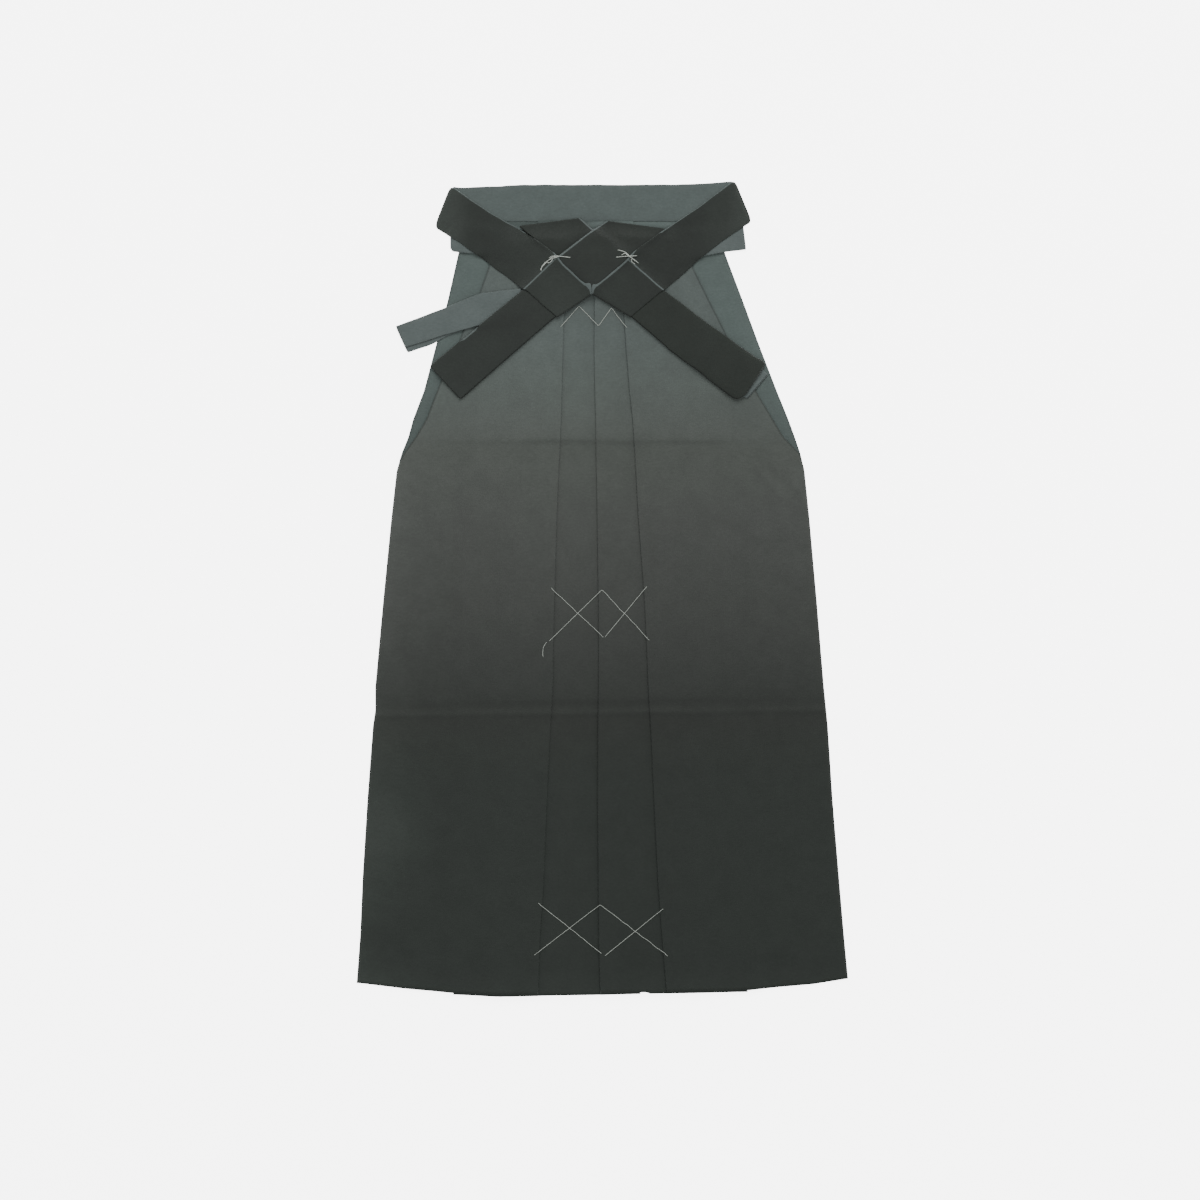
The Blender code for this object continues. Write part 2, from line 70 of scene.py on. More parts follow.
def soft_light(name, place, side, power):
    """A square soft light at a place, turned towards the middle of the garment."""
    lamp = bpy.data.lights.new(name, "AREA")
    lamp.size = side
    lamp.energy = power
    light = placed(name, lamp)
    light.location = place
    light.rotation_mode = "QUATERNION"
    light.rotation_quaternion = (-Vector(place)).to_track_quat("-Z", "Y")


soft_light("key_light", place=(0.3, 3.6, 3.0), side=2.4, power=210)
soft_light("top_light", place=(0.4, -0.3, 3.8), side=3.0, power=60)

studio_air = bpy.data.worlds.new("studio_air")
studio_air.use_nodes = True
air = studio_air.node_tree.nodes["Background"].inputs
air["Color"].default_value = (1.0, 1.0, 1.0, 1.0)
air["Strength"].default_value = 0.85
bpy.context.scene.world = studio_air


def finish_of(name, settings):
    """A material whose surface has these settings."""
    material = bpy.data.materials.new(name)
    material.use_nodes = True
    surface = material.node_tree.nodes["Principled BSDF"]
    for setting, value in settings.items():
        surface.inputs[setting].default_value = value
    return material


def object_of(name, form, material):
    """The object that a finished form makes, in one material."""
    mesh = bpy.data.meshes.new(name)
    form.to_mesh(mesh)
    form.free()
    mesh.materials.append(material)
    return placed(name, mesh)


floor_paint = finish_of(
    "floor_paint",
    {
        "Base Color": (0.9, 0.9, 0.9, 1.0), "Roughness": 0.9,
        "Emission Color": (1.0, 1.0, 1.0, 1.0), "Emission Strength": 5.0,
    },
)
floor_form = bmesh.new()
bmesh.ops.create_grid(floor_form, x_segments=1, y_segments=1, size=FLOOR_SIDE / 2)
object_of("floor", floor_form, floor_paint)


# ---- Back panel --------------------------------------
# Widths of polyester crepe sewn side by side, with one inverted box pleat down the middle.  It lies
# on the floor with its outside down.  Its paler inside shows in the two side slits at the hips.

# Sizes of cloth are in millimetres, and MM makes them metres.  A pressed layer is the cloth with
# the air in it.
MM = 0.001
CREPE_WALL = 0.6
LAYER = 1.3
FLOOR_CLEARANCE = 0.05

# The skirt cut across at many heights: side edges, folds, and the hidden ends of the pleats (tucks).
Section = namedtuple(
    "Section",
    "y back_left front_left left_tuck box_left left_fold centre_fold centre_tuck right_fold"
    " box_right right_tuck front_right back_right",
)
SECTIONS = [Section(*row) for row in (
    (463, -172, -132, -108, -80, -45, -11, 1, 20, 38, 78, 98, 138),
    (440, -178, -132, -108, -82, -45, -11, 1, 20, 40, 78, 98, 149),
    (410, -185, -142, -115, -84, -46, -11, 3, 23, 43, 87, 112, 160),
    (365, -195, -158, -125, -86, -48, -10, 7, 26, 47, 101, 134, 177),
    (308, -210, -183, -137, -89, -49.5, -10.5, 10, 29.5, 52, 118, 163, 198),
    (251, -225, -208, -147, -92, -51, -9.5, 12, 34, 57, 132, 193, 220),
    (214, -239, -222, -152, -94, -52, -8.5, 14, 38, 60, 138, 215, 235),
    (192, -245, -235, -154, -95, -53, -8, 14, 39.5, 62, 141, 228, 243),
    (170, -254, -251, -156, -96, -54, -8, 15, 41, 64, 143, 249.5, 250.5),
    (151, -259, -259, -158, -97, -55, -7.5, 16, 42, 66, 145, 254.5, 254.5),
    (88, -266, -266, -163, -100, -57.5, -6.5, 19, 45.5, 71, 150, 261, 261),
    (-13, -276, -276, -166, -105, -60.5, -5, 23, 53, 80, 154, 270, 270),
    (-122, -286, -286, -170, -110, -63, -4.5, 28, 58, 89, 159, 279, 279),
    (-152, -286, -286, -172, -112, -64.5, -4.5, 29, 60, 92, 160, 282, 282),
    (-172, -289, -289, -172, -113, -65.5, -4.5, 30, 61, 94, 161, 284, 284),
    (-265, -296, -296, -176, -117, -70, -5.5, 35, 65, 102, 167, 290, 290),
    (-366, -302, -302, -181, -122, -74, -4.5, 40, 70, 111, 173, 298, 298),
    (-442, -305, -305, -184, -126, -79, -4, 44, 75.5, 117, 178, 304, 304),
    (-507, -309.5, -309.5, -187, -129, -81, -2, 47, 81, 123, 182, 309.5, 309.5),
)]
WAIST_Y = 463.0
HEM_Y = -507.0

# Places along the hem, which sags from both side seams to the middle.
HEM = (
    (-307, -495.5), (-249, -502.5), (-190, -507.8), (-129, -510.8), (-66, -509.2), (-2, -508.2),
    (51, -506.8), (80, -506.5), (183, -504.5), (224, -500.4), (266, -496.8), (309, -489.8),
)
HEM_SWAY_FROM = -190.0


def at_height(table, y):
    """A table's row at any height, read between the rows above and below."""
    columns = list(zip(*reversed(table)))
    return type(table[0])(*(float(np.interp(y, columns[0], column)) for column in columns))


def within_one(value):
    """A share kept between nothing and all."""
    return min(max(value, 0.0), 1.0)


def hem_sway(x, y):
    """How far the curve of the hem draws the cloth up or down at this place."""
    share = within_one((HEM_SWAY_FROM - y) / (HEM_SWAY_FROM - HEM_Y))
    return share * share * (float(np.interp(x, *zip(*HEM))) - HEM_Y)


def smooth(share):
    """A share that starts and ends gently."""
    return share * share * (3 - 2 * share)


def run(cut, x, height, steps):
    """Carry a cut line on to a place and height, easing up or down on the way."""
    start_x, start_height = cut[-1]
    for step in range(1, steps + 1):
        share = step / steps
        rise = (height - start_height) * smooth(share)
        cut.append((start_x + (x - start_x) * share, start_height + rise))


def turn(cut, side, height, steps=6):
    """Turn a cut line back on itself round a pressed fold that bulges towards side."""
    x, start_height = cut[-1]
    radius = abs(height - start_height) / 2
    for step in range(1, steps + 1):
        swing = math.pi * step / steps
        share = (1 - math.cos(swing)) / 2
        cut.append((x + side * radius * math.sin(swing), start_height + (height - start_height) * share))


def pressed_edge(x, side):
    """Where the middle of the cloth starts to turn, so that the fold's outside reaches x."""
    return x - side * (LAYER + CREPE_WALL) / 2


BOX_PLEAT_GAP = 1.0
SEAM_INSET = 0.4


def back_cut(section):
    """The back panel cut across, with its box pleat: places with heights above the lowest layer."""
    left = pressed_edge(section.centre_fold - BOX_PLEAT_GAP, 1)
    right = pressed_edge(section.centre_fold + BOX_PLEAT_GAP, -1)
    cut = [(section.back_left + SEAM_INSET, 0)]
    run(cut, section.box_left, 0, 22)
    run(cut, left, 0, 10)
    turn(cut, 1, LAYER)
    run(cut, section.box_left, LAYER, 8)
    turn(cut, -1, 2 * LAYER)
    run(cut, section.box_right, 2 * LAYER, 16)
    turn(cut, 1, LAYER)
    run(cut, right, LAYER, 8)
    turn(cut, -1, 0)
    run(cut, section.box_right, 0, 10)
    run(cut, section.back_right - SEAM_INSET, 0, 22)
    return cut


def added_up(steps):
    """Places along a line, from nothing, given the steps between them."""
    return np.concatenate([[0.0], np.cumsum(steps)])


def cloth_form(points, u, v, marks):
    """A grid of faces through rows of points, with the flat cut as its UV map and marks at its points."""
    count, across = points.shape[:2]
    form = bmesh.new()
    bmesh.ops.create_grid(form, x_segments=across - 1, y_segments=count - 1, size=1.0)
    form.verts.ensure_lookup_table()
    flat_cut = form.loops.layers.uv.new("flat_cut")
    layers = [(form.verts.layers.float.new(mark), values) for mark, values in marks.items()]
    for face in form.faces:
        for loop in face.loops:
            place = divmod(loop.vert.index, across)
            loop[flat_cut].uv = (u[place] * MM, v[place] * MM)
    for vert in form.verts:
        place = divmod(vert.index, across)
        vert.co = Vector(points[place]) * MM
        for layer, values in layers:
            vert[layer] = values[place] * MM
    return form


def cloth_piece(node, form, material):
    """The smooth piece of cloth that a form makes, facing outwards."""
    bmesh.ops.recalc_face_normals(form, faces=form.faces[:])
    piece = object_of(node + "_cloth", form, material)
    piece.data.shade_smooth()
    return piece


def put_on(piece, node):
    """The piece takes its solid's place, fixed to the root."""
    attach(piece, "root")
    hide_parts(node)


def sew_panel(node, rows, from_hem, material):
    """A panel of crepe through rows of points, in its solid's place, with its flat cut measured.

    from_hem holds each point's distance from a turned or sewn edge, which sets the painted shade there.
    """
    points = np.array(rows)
    widths = np.linalg.norm(np.diff(points, axis=1), axis=2)
    lengths = np.linalg.norm(np.diff(points, axis=0), axis=2)
    u = np.hstack([np.zeros((len(points), 1)), np.cumsum(widths, axis=1)])
    v = np.broadcast_to(added_up(lengths.mean(axis=1))[:, None], u.shape)
    panel = cloth_piece(node, cloth_form(points, u, v, {"from_hem": np.array(from_hem)}), material)
    thicken = panel.modifiers.new("wall", "SOLIDIFY")
    thicken.thickness = CREPE_WALL * MM
    thicken.offset = 0.0
    put_on(panel, node)


# Crepe is matt and finely pebbled.  The dye takes a little unevenly, in blotches and specks.
# A dye is listed as its colours at some heights on the garment.
INSIDE_DYE = (
    (-170, (0.0187, 0.0212, 0.0197)),
    (300, (0.0538, 0.0682, 0.0642)),
)


def shaded(tree, kind, output, inputs=(), **settings):
    """An output of a new shader node.  Its inputs are values or other outputs, by name or number."""
    made = tree.nodes.new("ShaderNode" + kind)
    for setting, value in settings.items():
        setattr(made, setting, value)
    for socket, value in dict(inputs).items():
        if isinstance(value, bpy.types.NodeSocket):
            tree.links.new(value, made.inputs[socket])
        else:
            made.inputs[socket].default_value = value
    return made.outputs[output]


def maths(tree, operation, *values):
    """The result of one sum in a material."""
    return shaded(tree, "Math", "Value", enumerate(values), operation=operation)


def mapped(tree, value, from_min, from_max, to_min=0.0, to_max=1.0, **settings):
    """A value brought from one range to another."""
    ends = {"From Min": from_min, "From Max": from_max, "To Min": to_min, "To Max": to_max}
    return shaded(tree, "MapRange", "Result", {"Value": value, **ends}, **settings)


def grain(tree, place, scale, detail=3.0, roughness=0.6):
    """Fine random shade of the cloth."""
    inputs = {"Vector": place, "Scale": scale, "Detail": detail, "Roughness": roughness}
    return shaded(tree, "TexNoise", "Fac", inputs)


def strengthened(tree, colour, strength):
    """A dye colour made stronger or weaker."""
    return shaded(tree, "VectorMath", "Vector", {0: colour, "Scale": strength}, operation="SCALE")


def on_garment(tree):
    """The place on the garment that is coloured."""
    return shaded(tree, "TexCoord", "Object")


def marked(tree, mark):
    """The value kept in the cloth under this name."""
    return shaded(tree, "Attribute", "Fac", attribute_name=mark)


# Blotches, specks and pebbles to the metre.  The specks are longer along the weft.
BLOTCHES = 42.0
SPECKS = (210.0, 480.0, 210.0)
PEBBLES = 900.0
PEBBLE_RISE = 0.4 * MM


def crepe(name, colour_of):
    """A crepe material.  colour_of makes its dye colour in the material's tree."""
    material = finish_of(
        name,
        {"Roughness": 0.88, "Specular IOR Level": 0.18, "Sheen Weight": 0.05, "Sheen Roughness": 0.5},
    )
    tree = material.node_tree
    place = on_garment(tree)
    weft = shaded(tree, "Mapping", "Vector", {"Vector": place, "Scale": SPECKS})
    blotches = mapped(tree, grain(tree, place, BLOTCHES, 4.0, 0.62), 0.3, 0.7, 0.94, 1.06)
    specks = mapped(tree, grain(tree, weft, 1.0), 0.3, 0.7, 0.93, 1.07)
    dyed = strengthened(tree, colour_of(tree), maths(tree, "MULTIPLY", blotches, specks))
    pebbles = {"Height": grain(tree, place, PEBBLES), "Strength": 0.35, "Distance": PEBBLE_RISE}
    surface = tree.nodes["Principled BSDF"].inputs
    tree.links.new(dyed, surface["Base Color"])
    tree.links.new(shaded(tree, "Bump", "Normal", pebbles), surface["Normal"])
    return material


def blended(tree, axis, places, colours):
    """Colours blended from place to place along one axis of the garment."""
    along = shaded(tree, "SeparateXYZ", axis, {"Vector": on_garment(tree)})
    low, high = places[0] * MM, places[-1] * MM
    ramp = shaded(tree, "ValToRGB", "Color", {"Fac": mapped(tree, along, low, high)})
    stops = ramp.node.color_ramp.elements
    while len(stops) < len(places):
        stops.new(0.5)
    for stop, place, colour in zip(stops, places, colours):
        stop.position = (place * MM - low) / (high - low)
        stop.color = (*colour, 1.0)
    return ramp


def dyed_by_height(tree, dyes):
    """A dye's colour by height on the garment, from the hem up."""
    return blended(tree, "Y", *zip(*dyes))


# Painted shade: turned-in and sewn edges are darkened in colour, standing in for the shadow in the dip
# along them.
HEM_PAINTED_SHADE = 0.66
HEM_PAINTED_SHADE_WIDTHS = (1.3, 2.6)


def painted_shade_at_hem(tree, colour):
    """A colour made darker where the cloth is turned in or sewn: painted shade for the dip there."""
    full, none = HEM_PAINTED_SHADE_WIDTHS
    shade = mapped(tree, marked(tree, "from_hem"), full * MM, none * MM, HEM_PAINTED_SHADE)
    return strengthened(tree, colour, shade)


# Storage folds cross both panels: one soft ridge at the hips and a double one at the knees.  A ridge
# rises a little from left to right, and stands highest between its shoulders.  Below its crest it
# falls steeply, and a share of its height trails away in a longer foot.
Ridge = namedtuple("Ridge", "y rise height side_height lower_reach foot_reach foot_share upper_reach")
RIDGES = (
    Ridge(190, 0.0, 4.2, 0.9, 5.5, 22, 0.5, 26),
    Ridge(-137, 0.012, 1.3, 0.6, 5, 9, 0.2, 22),
    Ridge(-155, 0.012, 1.5, 1.3, 4, 9, 0.4, 4),
)
RIDGE_SHOULDERS = (-240.0, -60.0, 130.0, 190.0)
RIDGE_WAVER = 1.5
RIDGE_UNEVENNESS = 0.2
BROAD_WAVER = 90
SMALL_WAVER = 25
SMALL_WAVER_SHARE = 0.3

# Fainter creases, each a soft ridge: x and y of its two ends, its height and its reach aside.
BACK_CREASES = (
    (-228, 118, -150, 96, 0.4, 6), (120, 60, 176, -40, 0.3, 6), (236, 140, 206, 84, 0.5, 5),
    (-250, -240, -196, -300, 0.4, 7), (90, -330, 210, -352, 0.3, 8),
    (-90, -396, -160, -452, 0.4, 8), (-190, 380, -176, 300, 0.3, 7), (160, 350, 190, 280, 0.3, 7),
)


def ridge_height(x, y):
    """Height of the storage ridges, which waver a little from side to side."""
    height = 0.0
    for ridge in RIDGES:
        waver = noise.noise(Vector((x / BROAD_WAVER, ridge.y, 0)))
        waver += SMALL_WAVER_SHARE * noise.noise(Vector((x / SMALL_WAVER, ridge.y, 4)))
        offset = y - ridge.y - ridge.rise * x - RIDGE_WAVER * waver
        crest = np.interp(
            x, RIDGE_SHOULDERS, (ridge.side_height, ridge.height, ridge.height, ridge.side_height)
        )
        if offset > 0:
            fall = math.exp(-((offset / ridge.upper_reach) ** 2))
        else:
            fall = (1 - ridge.foot_share) * math.exp(-((offset / ridge.lower_reach) ** 2))
            fall += ridge.foot_share * math.exp(-((offset / ridge.foot_reach) ** 2))
        height += float(crest) * (1 + RIDGE_UNEVENNESS * waver) * fall
    return height


def from_line(x, y, start_x, start_y, end_x, end_y):
    """Distance of a place from a straight line, positive on the left of its way."""
    along = Vector((end_x - start_x, end_y - start_y))
    here = Vector((x - start_x, y - start_y))
    gap = (here - along * within_one(here.dot(along) / along.length_squared)).length
    return math.copysign(gap, along.x * here.y - along.y * here.x)


def crease_height(x, y, creases):
    """Height of faint creases at one place."""
    height = 0.0
    for *ends, crest, reach in creases:
        apart = abs(from_line(x, y, *ends))
        if apart < 3 * reach:
            height += crest * math.exp(-((apart / reach) ** 2))
    return height


# Rows lie closer together this far below and above each ridge.
CREST_BELOW = 16.0
CREST_ABOVE = 12.0


def row_heights(top, spacing, crest_spacing):
    """Heights of the cross rows from the top down, closer together at the ridges."""
    heights = [top]
    while heights[-1] > HEM_Y:
        y = heights[-1]
        near = any(-CREST_BELOW < y - ridge.y < CREST_ABOVE for ridge in RIDGES)
        heights.append(y - (crest_spacing if near else spacing))
    heights[-1] = HEM_Y
    return heights


# The back lies under the front, so its ridges are lower.  Its top is pressed flat under the band,
# and its hem is turned up a little higher than the front's.  A high power keeps that to the hem.
SEWN_IN = 3.0
BACK_TOP = WAIST_Y + SEWN_IN
BACK_ROW_SPACING = 9.0
BACK_CREST_SPACING = 2.5
UNDER_RIDGE = 0.45
PRESSED_BY_BAND = 0.22
PRESSED_BETWEEN = (WAIST_Y - 28, WAIST_Y - 10)
BACK_HEM_RAISED = 2.0
BACK_HEM_POWER = 8

# Painted shade below the waist seam, where the cloth gathers under the band: broad on the left and narrow
# on the right.
SEAM_PAINTED_SHADE_ENDS = (-60.0, 0.0)
SEAM_PAINTED_SHADE_WIDTHS = (3.0, 0.7)

back_rows = []
back_from_seam = []
for y in row_heights(BACK_TOP, BACK_ROW_SPACING, BACK_CREST_SPACING):
    pressed = float(np.interp(y, PRESSED_BETWEEN, (1.0, PRESSED_BY_BAND)))
    raised = BACK_HEM_RAISED * ((BACK_TOP - y) / (BACK_TOP - HEM_Y)) ** BACK_HEM_POWER
    row = []
    for x, height in back_cut(at_height(SECTIONS, y)):
        lift = UNDER_RIDGE * ridge_height(x, y) + crease_height(x, y, BACK_CREASES)
        base = CREPE_WALL / 2 + FLOOR_CLEARANCE
        row.append((x, y + hem_sway(x, y) + raised, base + height * pressed + lift))
    back_rows.append(row)
    back_from_seam.append(
        [max(0.0, WAIST_Y - y) / float(np.interp(x, SEAM_PAINTED_SHADE_ENDS, SEAM_PAINTED_SHADE_WIDTHS)) for x, *_ in row]
    )
inside_crepe = crepe("inside_crepe", lambda tree: painted_shade_at_hem(tree, dyed_by_height(tree, INSIDE_DYE)))
sew_panel("back_panel", back_rows, back_from_seam, inside_crepe)


# ---- Front panel -------------------------------------
# The same crepe in one folded width: three pleats pressed flat, the left one lapping right and the
# other two lapping left.

# Faint creases of the front alone: wrinkles at the slits, and marks of handling.
FRONT_CREASES = (
    (153, 130, 162, -70, 0.5, 5), (172, 95, 170, 20, 0.3, 4), (196, 152, 226, 118, 0.9, 4),
    (214, 158, 242, 128, 1.0, 3.5), (234, 150, 254, 112, 0.9, 3.5), (212, 128, 214, 92, 0.5, 4),
    (-250, 140, -226, 122, 0.6, 4), (-196, 76, -190, 18, 0.4, 7), (-236, -40, -160, -52, 0.3, 7),
    (-258, -270, -190, -292, 0.4, 8), (196, -250, 190, -330, 0.4, 7),
    (232, -400, 282, -440, 0.5, 9), (-284, -420, -240, -455, 0.5, 9), (110, 330, 146, 240, 0.5, 8),
    (-120, 300, -176, 236, 0.5, 8),
)

OUTSIDE_DYE = (
    (-510, (0.0178, 0.0217, 0.0188)),
    (-475, (0.0158, 0.0192, 0.0167)),
    (-240, (0.0169, 0.0202, 0.0177)),
    (-205, (0.0175, 0.0205, 0.0179)),
    (-165, (0.0184, 0.0207, 0.0183)),
    (-140, (0.0198, 0.0222, 0.0199)),
    (-110, (0.0228, 0.0254, 0.0230)),
    (-30, (0.0306, 0.0332, 0.0304)),
    (95, (0.0400, 0.0436, 0.0400)),
    (175, (0.0456, 0.0508, 0.0458)),
    (260, (0.0550, 0.0648, 0.0596)),
    (320, (0.0562, 0.0672, 0.0634)),
)
BROAD_SWELL = 0.45
BROAD_REACH = (95, 150)
SMALL_SWELL = 0.16
SMALL_REACH = (26, 40)


def swell(x, y):
    """Cloth never lies quite flat: low swells a hand wide and smaller ones between them."""
    broad = noise.noise(Vector((x / BROAD_REACH[0], y / BROAD_REACH[1], 3.0)))
    small = noise.noise(Vector((x / SMALL_REACH[0], y / SMALL_REACH[1], 9.0)))
    return BROAD_SWELL * (broad + 1) / 2 + SMALL_SWELL * (small + 1) / 2


# Painted light from side to side, palest along the left side seam and a little darker to the right: its
# strength at some x.
PAINTED_SIDE_LIGHT = (
    (-312, 1.45), (-275, 1.22), (-240, 1.06), (-205, 1.0), (-60, 1.0), (30, 0.94), (180, 0.93),
    (300, 0.97),
)

# A ramp holds nothing brighter than one, so strengths go into it halved.
IN_RAMP = 0.5


def painted_light_across(tree, colour, light_strengths):
    """A colour made stronger or weaker from side to side: painted light."""
    places, strengths = zip(*light_strengths)
    halved = blended(tree, "X", places, [[strength * IN_RAMP] * 3 for strength in strengths])
    return strengthened(tree, colour, maths(tree, "MULTIPLY", halved, 1 / IN_RAMP))


# Broad places where the colour is stronger or weaker: two blotches where the dye took more or less, and a
# painted shadow below the right bundle's end.
Patch = namedtuple("Patch", "x y reach strength")
DYE_BLOTCHES_AND_PAINTED_SHADOW = (Patch(-268, -303, 75, 1.2), Patch(-282, -438, 64, 0.84), Patch(168, 238, 46, 0.88))


def patched(tree, colour):
    """A colour made stronger or weaker in a few broad patches."""
    for patch in DYE_BLOTCHES_AND_PAINTED_SHADOW:
        places = {0: on_garment(tree), 1: (patch.x * MM, patch.y * MM, 0)}
        apart = shaded(tree, "VectorMath", "Value", places, operation="DISTANCE")
        reach = patch.reach * MM
        strength = mapped(tree, apart, 0.0, reach, patch.strength, interpolation_type="SMOOTHSTEP")
        colour = strengthened(tree, colour, strength)
    return colour


def outside_dye_and_painted_light(tree):
    """The front's colour: by height, with painted shade at the slits, painted light across, and broad
    patches, one of them a painted shadow.
    """
    colour = painted_shade_at_hem(tree, dyed_by_height(tree, OUTSIDE_DYE))
    return patched(tree, painted_light_across(tree, colour, PAINTED_SIDE_LIGHT))


# The front lies a layer above the back's lowest layer.  It slopes up beside the back's box pleat
# and over its own hidden tucks.
FLOOR_LAYER = 0.5
RAMP = 40.0
TUCK_RAMP = 24.0
RAMP_CLEARANCE = 2.5

# How far each pleat's edge stands open, which is most where the lower ridges cross it.
Opening = namedtuple("Opening", "y left centre right")
OPENINGS = [Opening(*row) for row in (
    (-90, 0.2, 0.0, 0.0), (-112, 0.9, 0.2, 0.4), (-132, 1.1, 0.8, 1.1), (-150, 0.7, 1.5, 1.0),
    (-175, 0.2, 2.1, 0.4), (-205, 0.0, 1.8, 0.2), (-250, 0.0, 1.1, 0.2), (-510, 0.0, 1.0, 0.3),
)]

# The front rolls down at its side edges, and the hems of its hidden layers hang a little lower.
SEAM_ROLL = 4.0
SEAM_DROP = 0.7
HIDDEN_HEM_DROP = 2.0
HIDDEN_HEM_POWER = 12
HIDDEN_BELOW = 1.5 * LAYER


def ramp_width(start, end):
    """Width of the slope beside the box pleat, less where another fold is near."""
    return min(RAMP, end - start - 2 * RAMP_CLEARANCE)


def climbed(x, stops, levels):
    """Levels read between stops with soft shoulders."""
    for start, end, low, high in zip(stops, stops[1:], levels, levels[1:]):
        if x <= end:
            return low + (high - low) * smooth(within_one((x - start) / (end - start)))
    return levels[-1]


def over_back(section, x):
    """Middle of cloth that lies on the back panel: it climbs over the back's box pleat."""
    stops = (
        section.box_left - ramp_width(section.left_tuck, section.box_left),
        section.box_left,
        section.box_right,
        section.box_right + ramp_width(section.box_right, section.right_tuck),
    )
    return FLOOR_LAYER + climbed(x, stops, (LAYER, 3 * LAYER, 3 * LAYER, LAYER))


def front_cut(section):
    """The front panel cut across: places with heights above its lowest layer."""
    left_fold = pressed_edge(section.left_fold, 1)
    centre_fold = pressed_edge(section.centre_fold, -1)
    right_fold = pressed_edge(section.right_fold, -1)
    opening = at_height(OPENINGS, section.y)
    left_foot = section.left_tuck - TUCK_RAMP - RAMP_CLEARANCE
    left_foot = max(left_foot, section.front_left + RAMP_CLEARANCE)
    right_foot = section.right_tuck + TUCK_RAMP + RAMP_CLEARANCE
    right_foot = min(right_foot, section.front_right - RAMP_CLEARANCE)
    cut = [(section.front_left, 0)]
    run(cut, left_foot, 0, 22)
    run(cut, section.left_tuck - RAMP_CLEARANCE, 2 * LAYER, 6)
    run(cut, left_fold, 2 * LAYER + opening.left, 17)
    turn(cut, 1, LAYER)
    run(cut, section.left_tuck, LAYER, 6)
    turn(cut, -1, 0)
    run(cut, section.centre_tuck, 0, 20)
    turn(cut, 1, LAYER)
    run(cut, centre_fold, LAYER, 6)
    turn(cut, -1, 2 * LAYER + opening.centre)
    run(cut, section.centre_tuck + RAMP_CLEARANCE, 2 * LAYER, 8)
    run(cut, right_fold - 2 * RAMP_CLEARANCE, 0, 5)
    run(cut, section.right_tuck, 0, 7)
    turn(cut, 1, LAYER)
    run(cut, right_fold, LAYER, 6)
    turn(cut, -1, 2 * LAYER + opening.right)
    run(cut, section.right_tuck + RAMP_CLEARANCE, 2 * LAYER, 15)
    run(cut, right_foot, 0, 6)
    run(cut, section.front_right, 0, 26)
    return cut


# The slits' edges are turned in, down to where the side seams start, and carry painted shade along them;
# all else is far from them.
SLIT_END_Y = 160.0
FAR = 100.0
FRONT_TOP = 440.0
FRONT_ROW_SPACING = 5.0
FRONT_CREST_SPACING = 1.8

front_rows = []
front_from_slit = []
for y in row_heights(FRONT_TOP, FRONT_ROW_SPACING, FRONT_CREST_SPACING):
    section = at_height(SECTIONS, y)
    down = (FRONT_TOP - y) / (FRONT_TOP - HEM_Y)
    row = []
    from_slit = []
    for x, height in front_cut(section):
        folded_in = section.left_tuck - LAYER < x < section.right_tuck + LAYER
        hidden = folded_in and height < HIDDEN_BELOW
        drop = HIDDEN_HEM_DROP * down**HIDDEN_HEM_POWER if hidden else 0.0
        edge = min(x - section.front_left, section.front_right - x)
        sewn = min(x - section.back_left, section.back_right - x)
        seam = SEAM_DROP * max(0.0, 1 - max(edge, sewn) / SEAM_ROLL)
        lift = over_back(section, x) + ridge_height(x, y)
        lift = lift + crease_height(x, y, FRONT_CREASES) + swell(x, y)
        row.append((x, y + hem_sway(x, y) - drop, lift + height - seam))
        from_slit.append(edge if y > SLIT_END_Y else FAR)
    front_rows.append(row)
    front_from_slit.append(from_slit)

outside_crepe = crepe("outside_crepe", outside_dye_and_painted_light)
sew_panel("front_panel", front_rows, front_from_slit, outside_crepe)


# ---- Waistbands --------------------------------------
# The back band is a straight strip of crepe folded over a stiff core and sewn to the back panel's
# top edge.  The front band is narrower and covers the tops of the pleats.

# A strip is a run of cross lines, each from a place on its upper side (nearer the waist's top edge)
# to a place on its lower side: upper x and y, then lower x and y.
BACK_BAND = (
    (-187.5, 507.8, -205.5, 463.8), (-176, 506, -190, 463.7), (-165, 507.3, -174, 463.6),
    (-150, 508, -155, 463.6), (-128, 508.2, -130, 463.6), (-104, 510.4, -104, 463.6),
    (-60, 510.3, -60, 463.6), (20, 510.1, 20, 463.6), (104, 510.7, 106, 463.6),
    (124, 511.6, 130, 463.6), (142, 512.6, 154, 463.6), (157, 514.1, 174, 463.6),
    (163, 514.4, 182, 463.6),
)
FRONT_BAND = (
    (-132.5, 453, -132.5, 419.5), (-10, 452, -10, 417.5), (110.5, 451, 110.5, 415.5),
)
BACK_BAND_WALL = 1.5
BACK_BAND_SPACING = 6.0
FRONT_BAND_WALL = 1.0
STRIP_SPACING = 3.0
STRIP_COLUMNS = 14
STRIP_UNEVENNESS = 0.35
EDGE_WAVER = 0.5
BEND_PASSES = 4
TAUT_ALONG = 0.6
AIR = 0.2
RAY_START = 90.0

laid = {}


def lay_down(name, surface, half_wall):
    """Remember the middle surface of a piece, so that others can lie on it."""
    points = np.array(surface)
    count, across = points.shape[:2]
    corners = [row * across + column for row in range(count - 1) for column in range(across - 1)]
    faces = [(corner, corner + 1, corner + across + 1, corner + across) for corner in corners]
    tree = BVHTree.FromPolygons([Vector(point) for point in points.reshape(-1, 3)], faces)
    laid[name] = (tree, half_wall)


def top_of(x, y, names):
    """Height of the highest of the named pieces at one place."""
    height = 0.0
    for name in names:
        tree, half_wall = laid[name]
        place = tree.ray_cast(Vector((x, y, RAY_START)), Vector((0, 0, -1)))[0]
        if place is not None:
            height = max(height, place.z + half_wall)
    return height


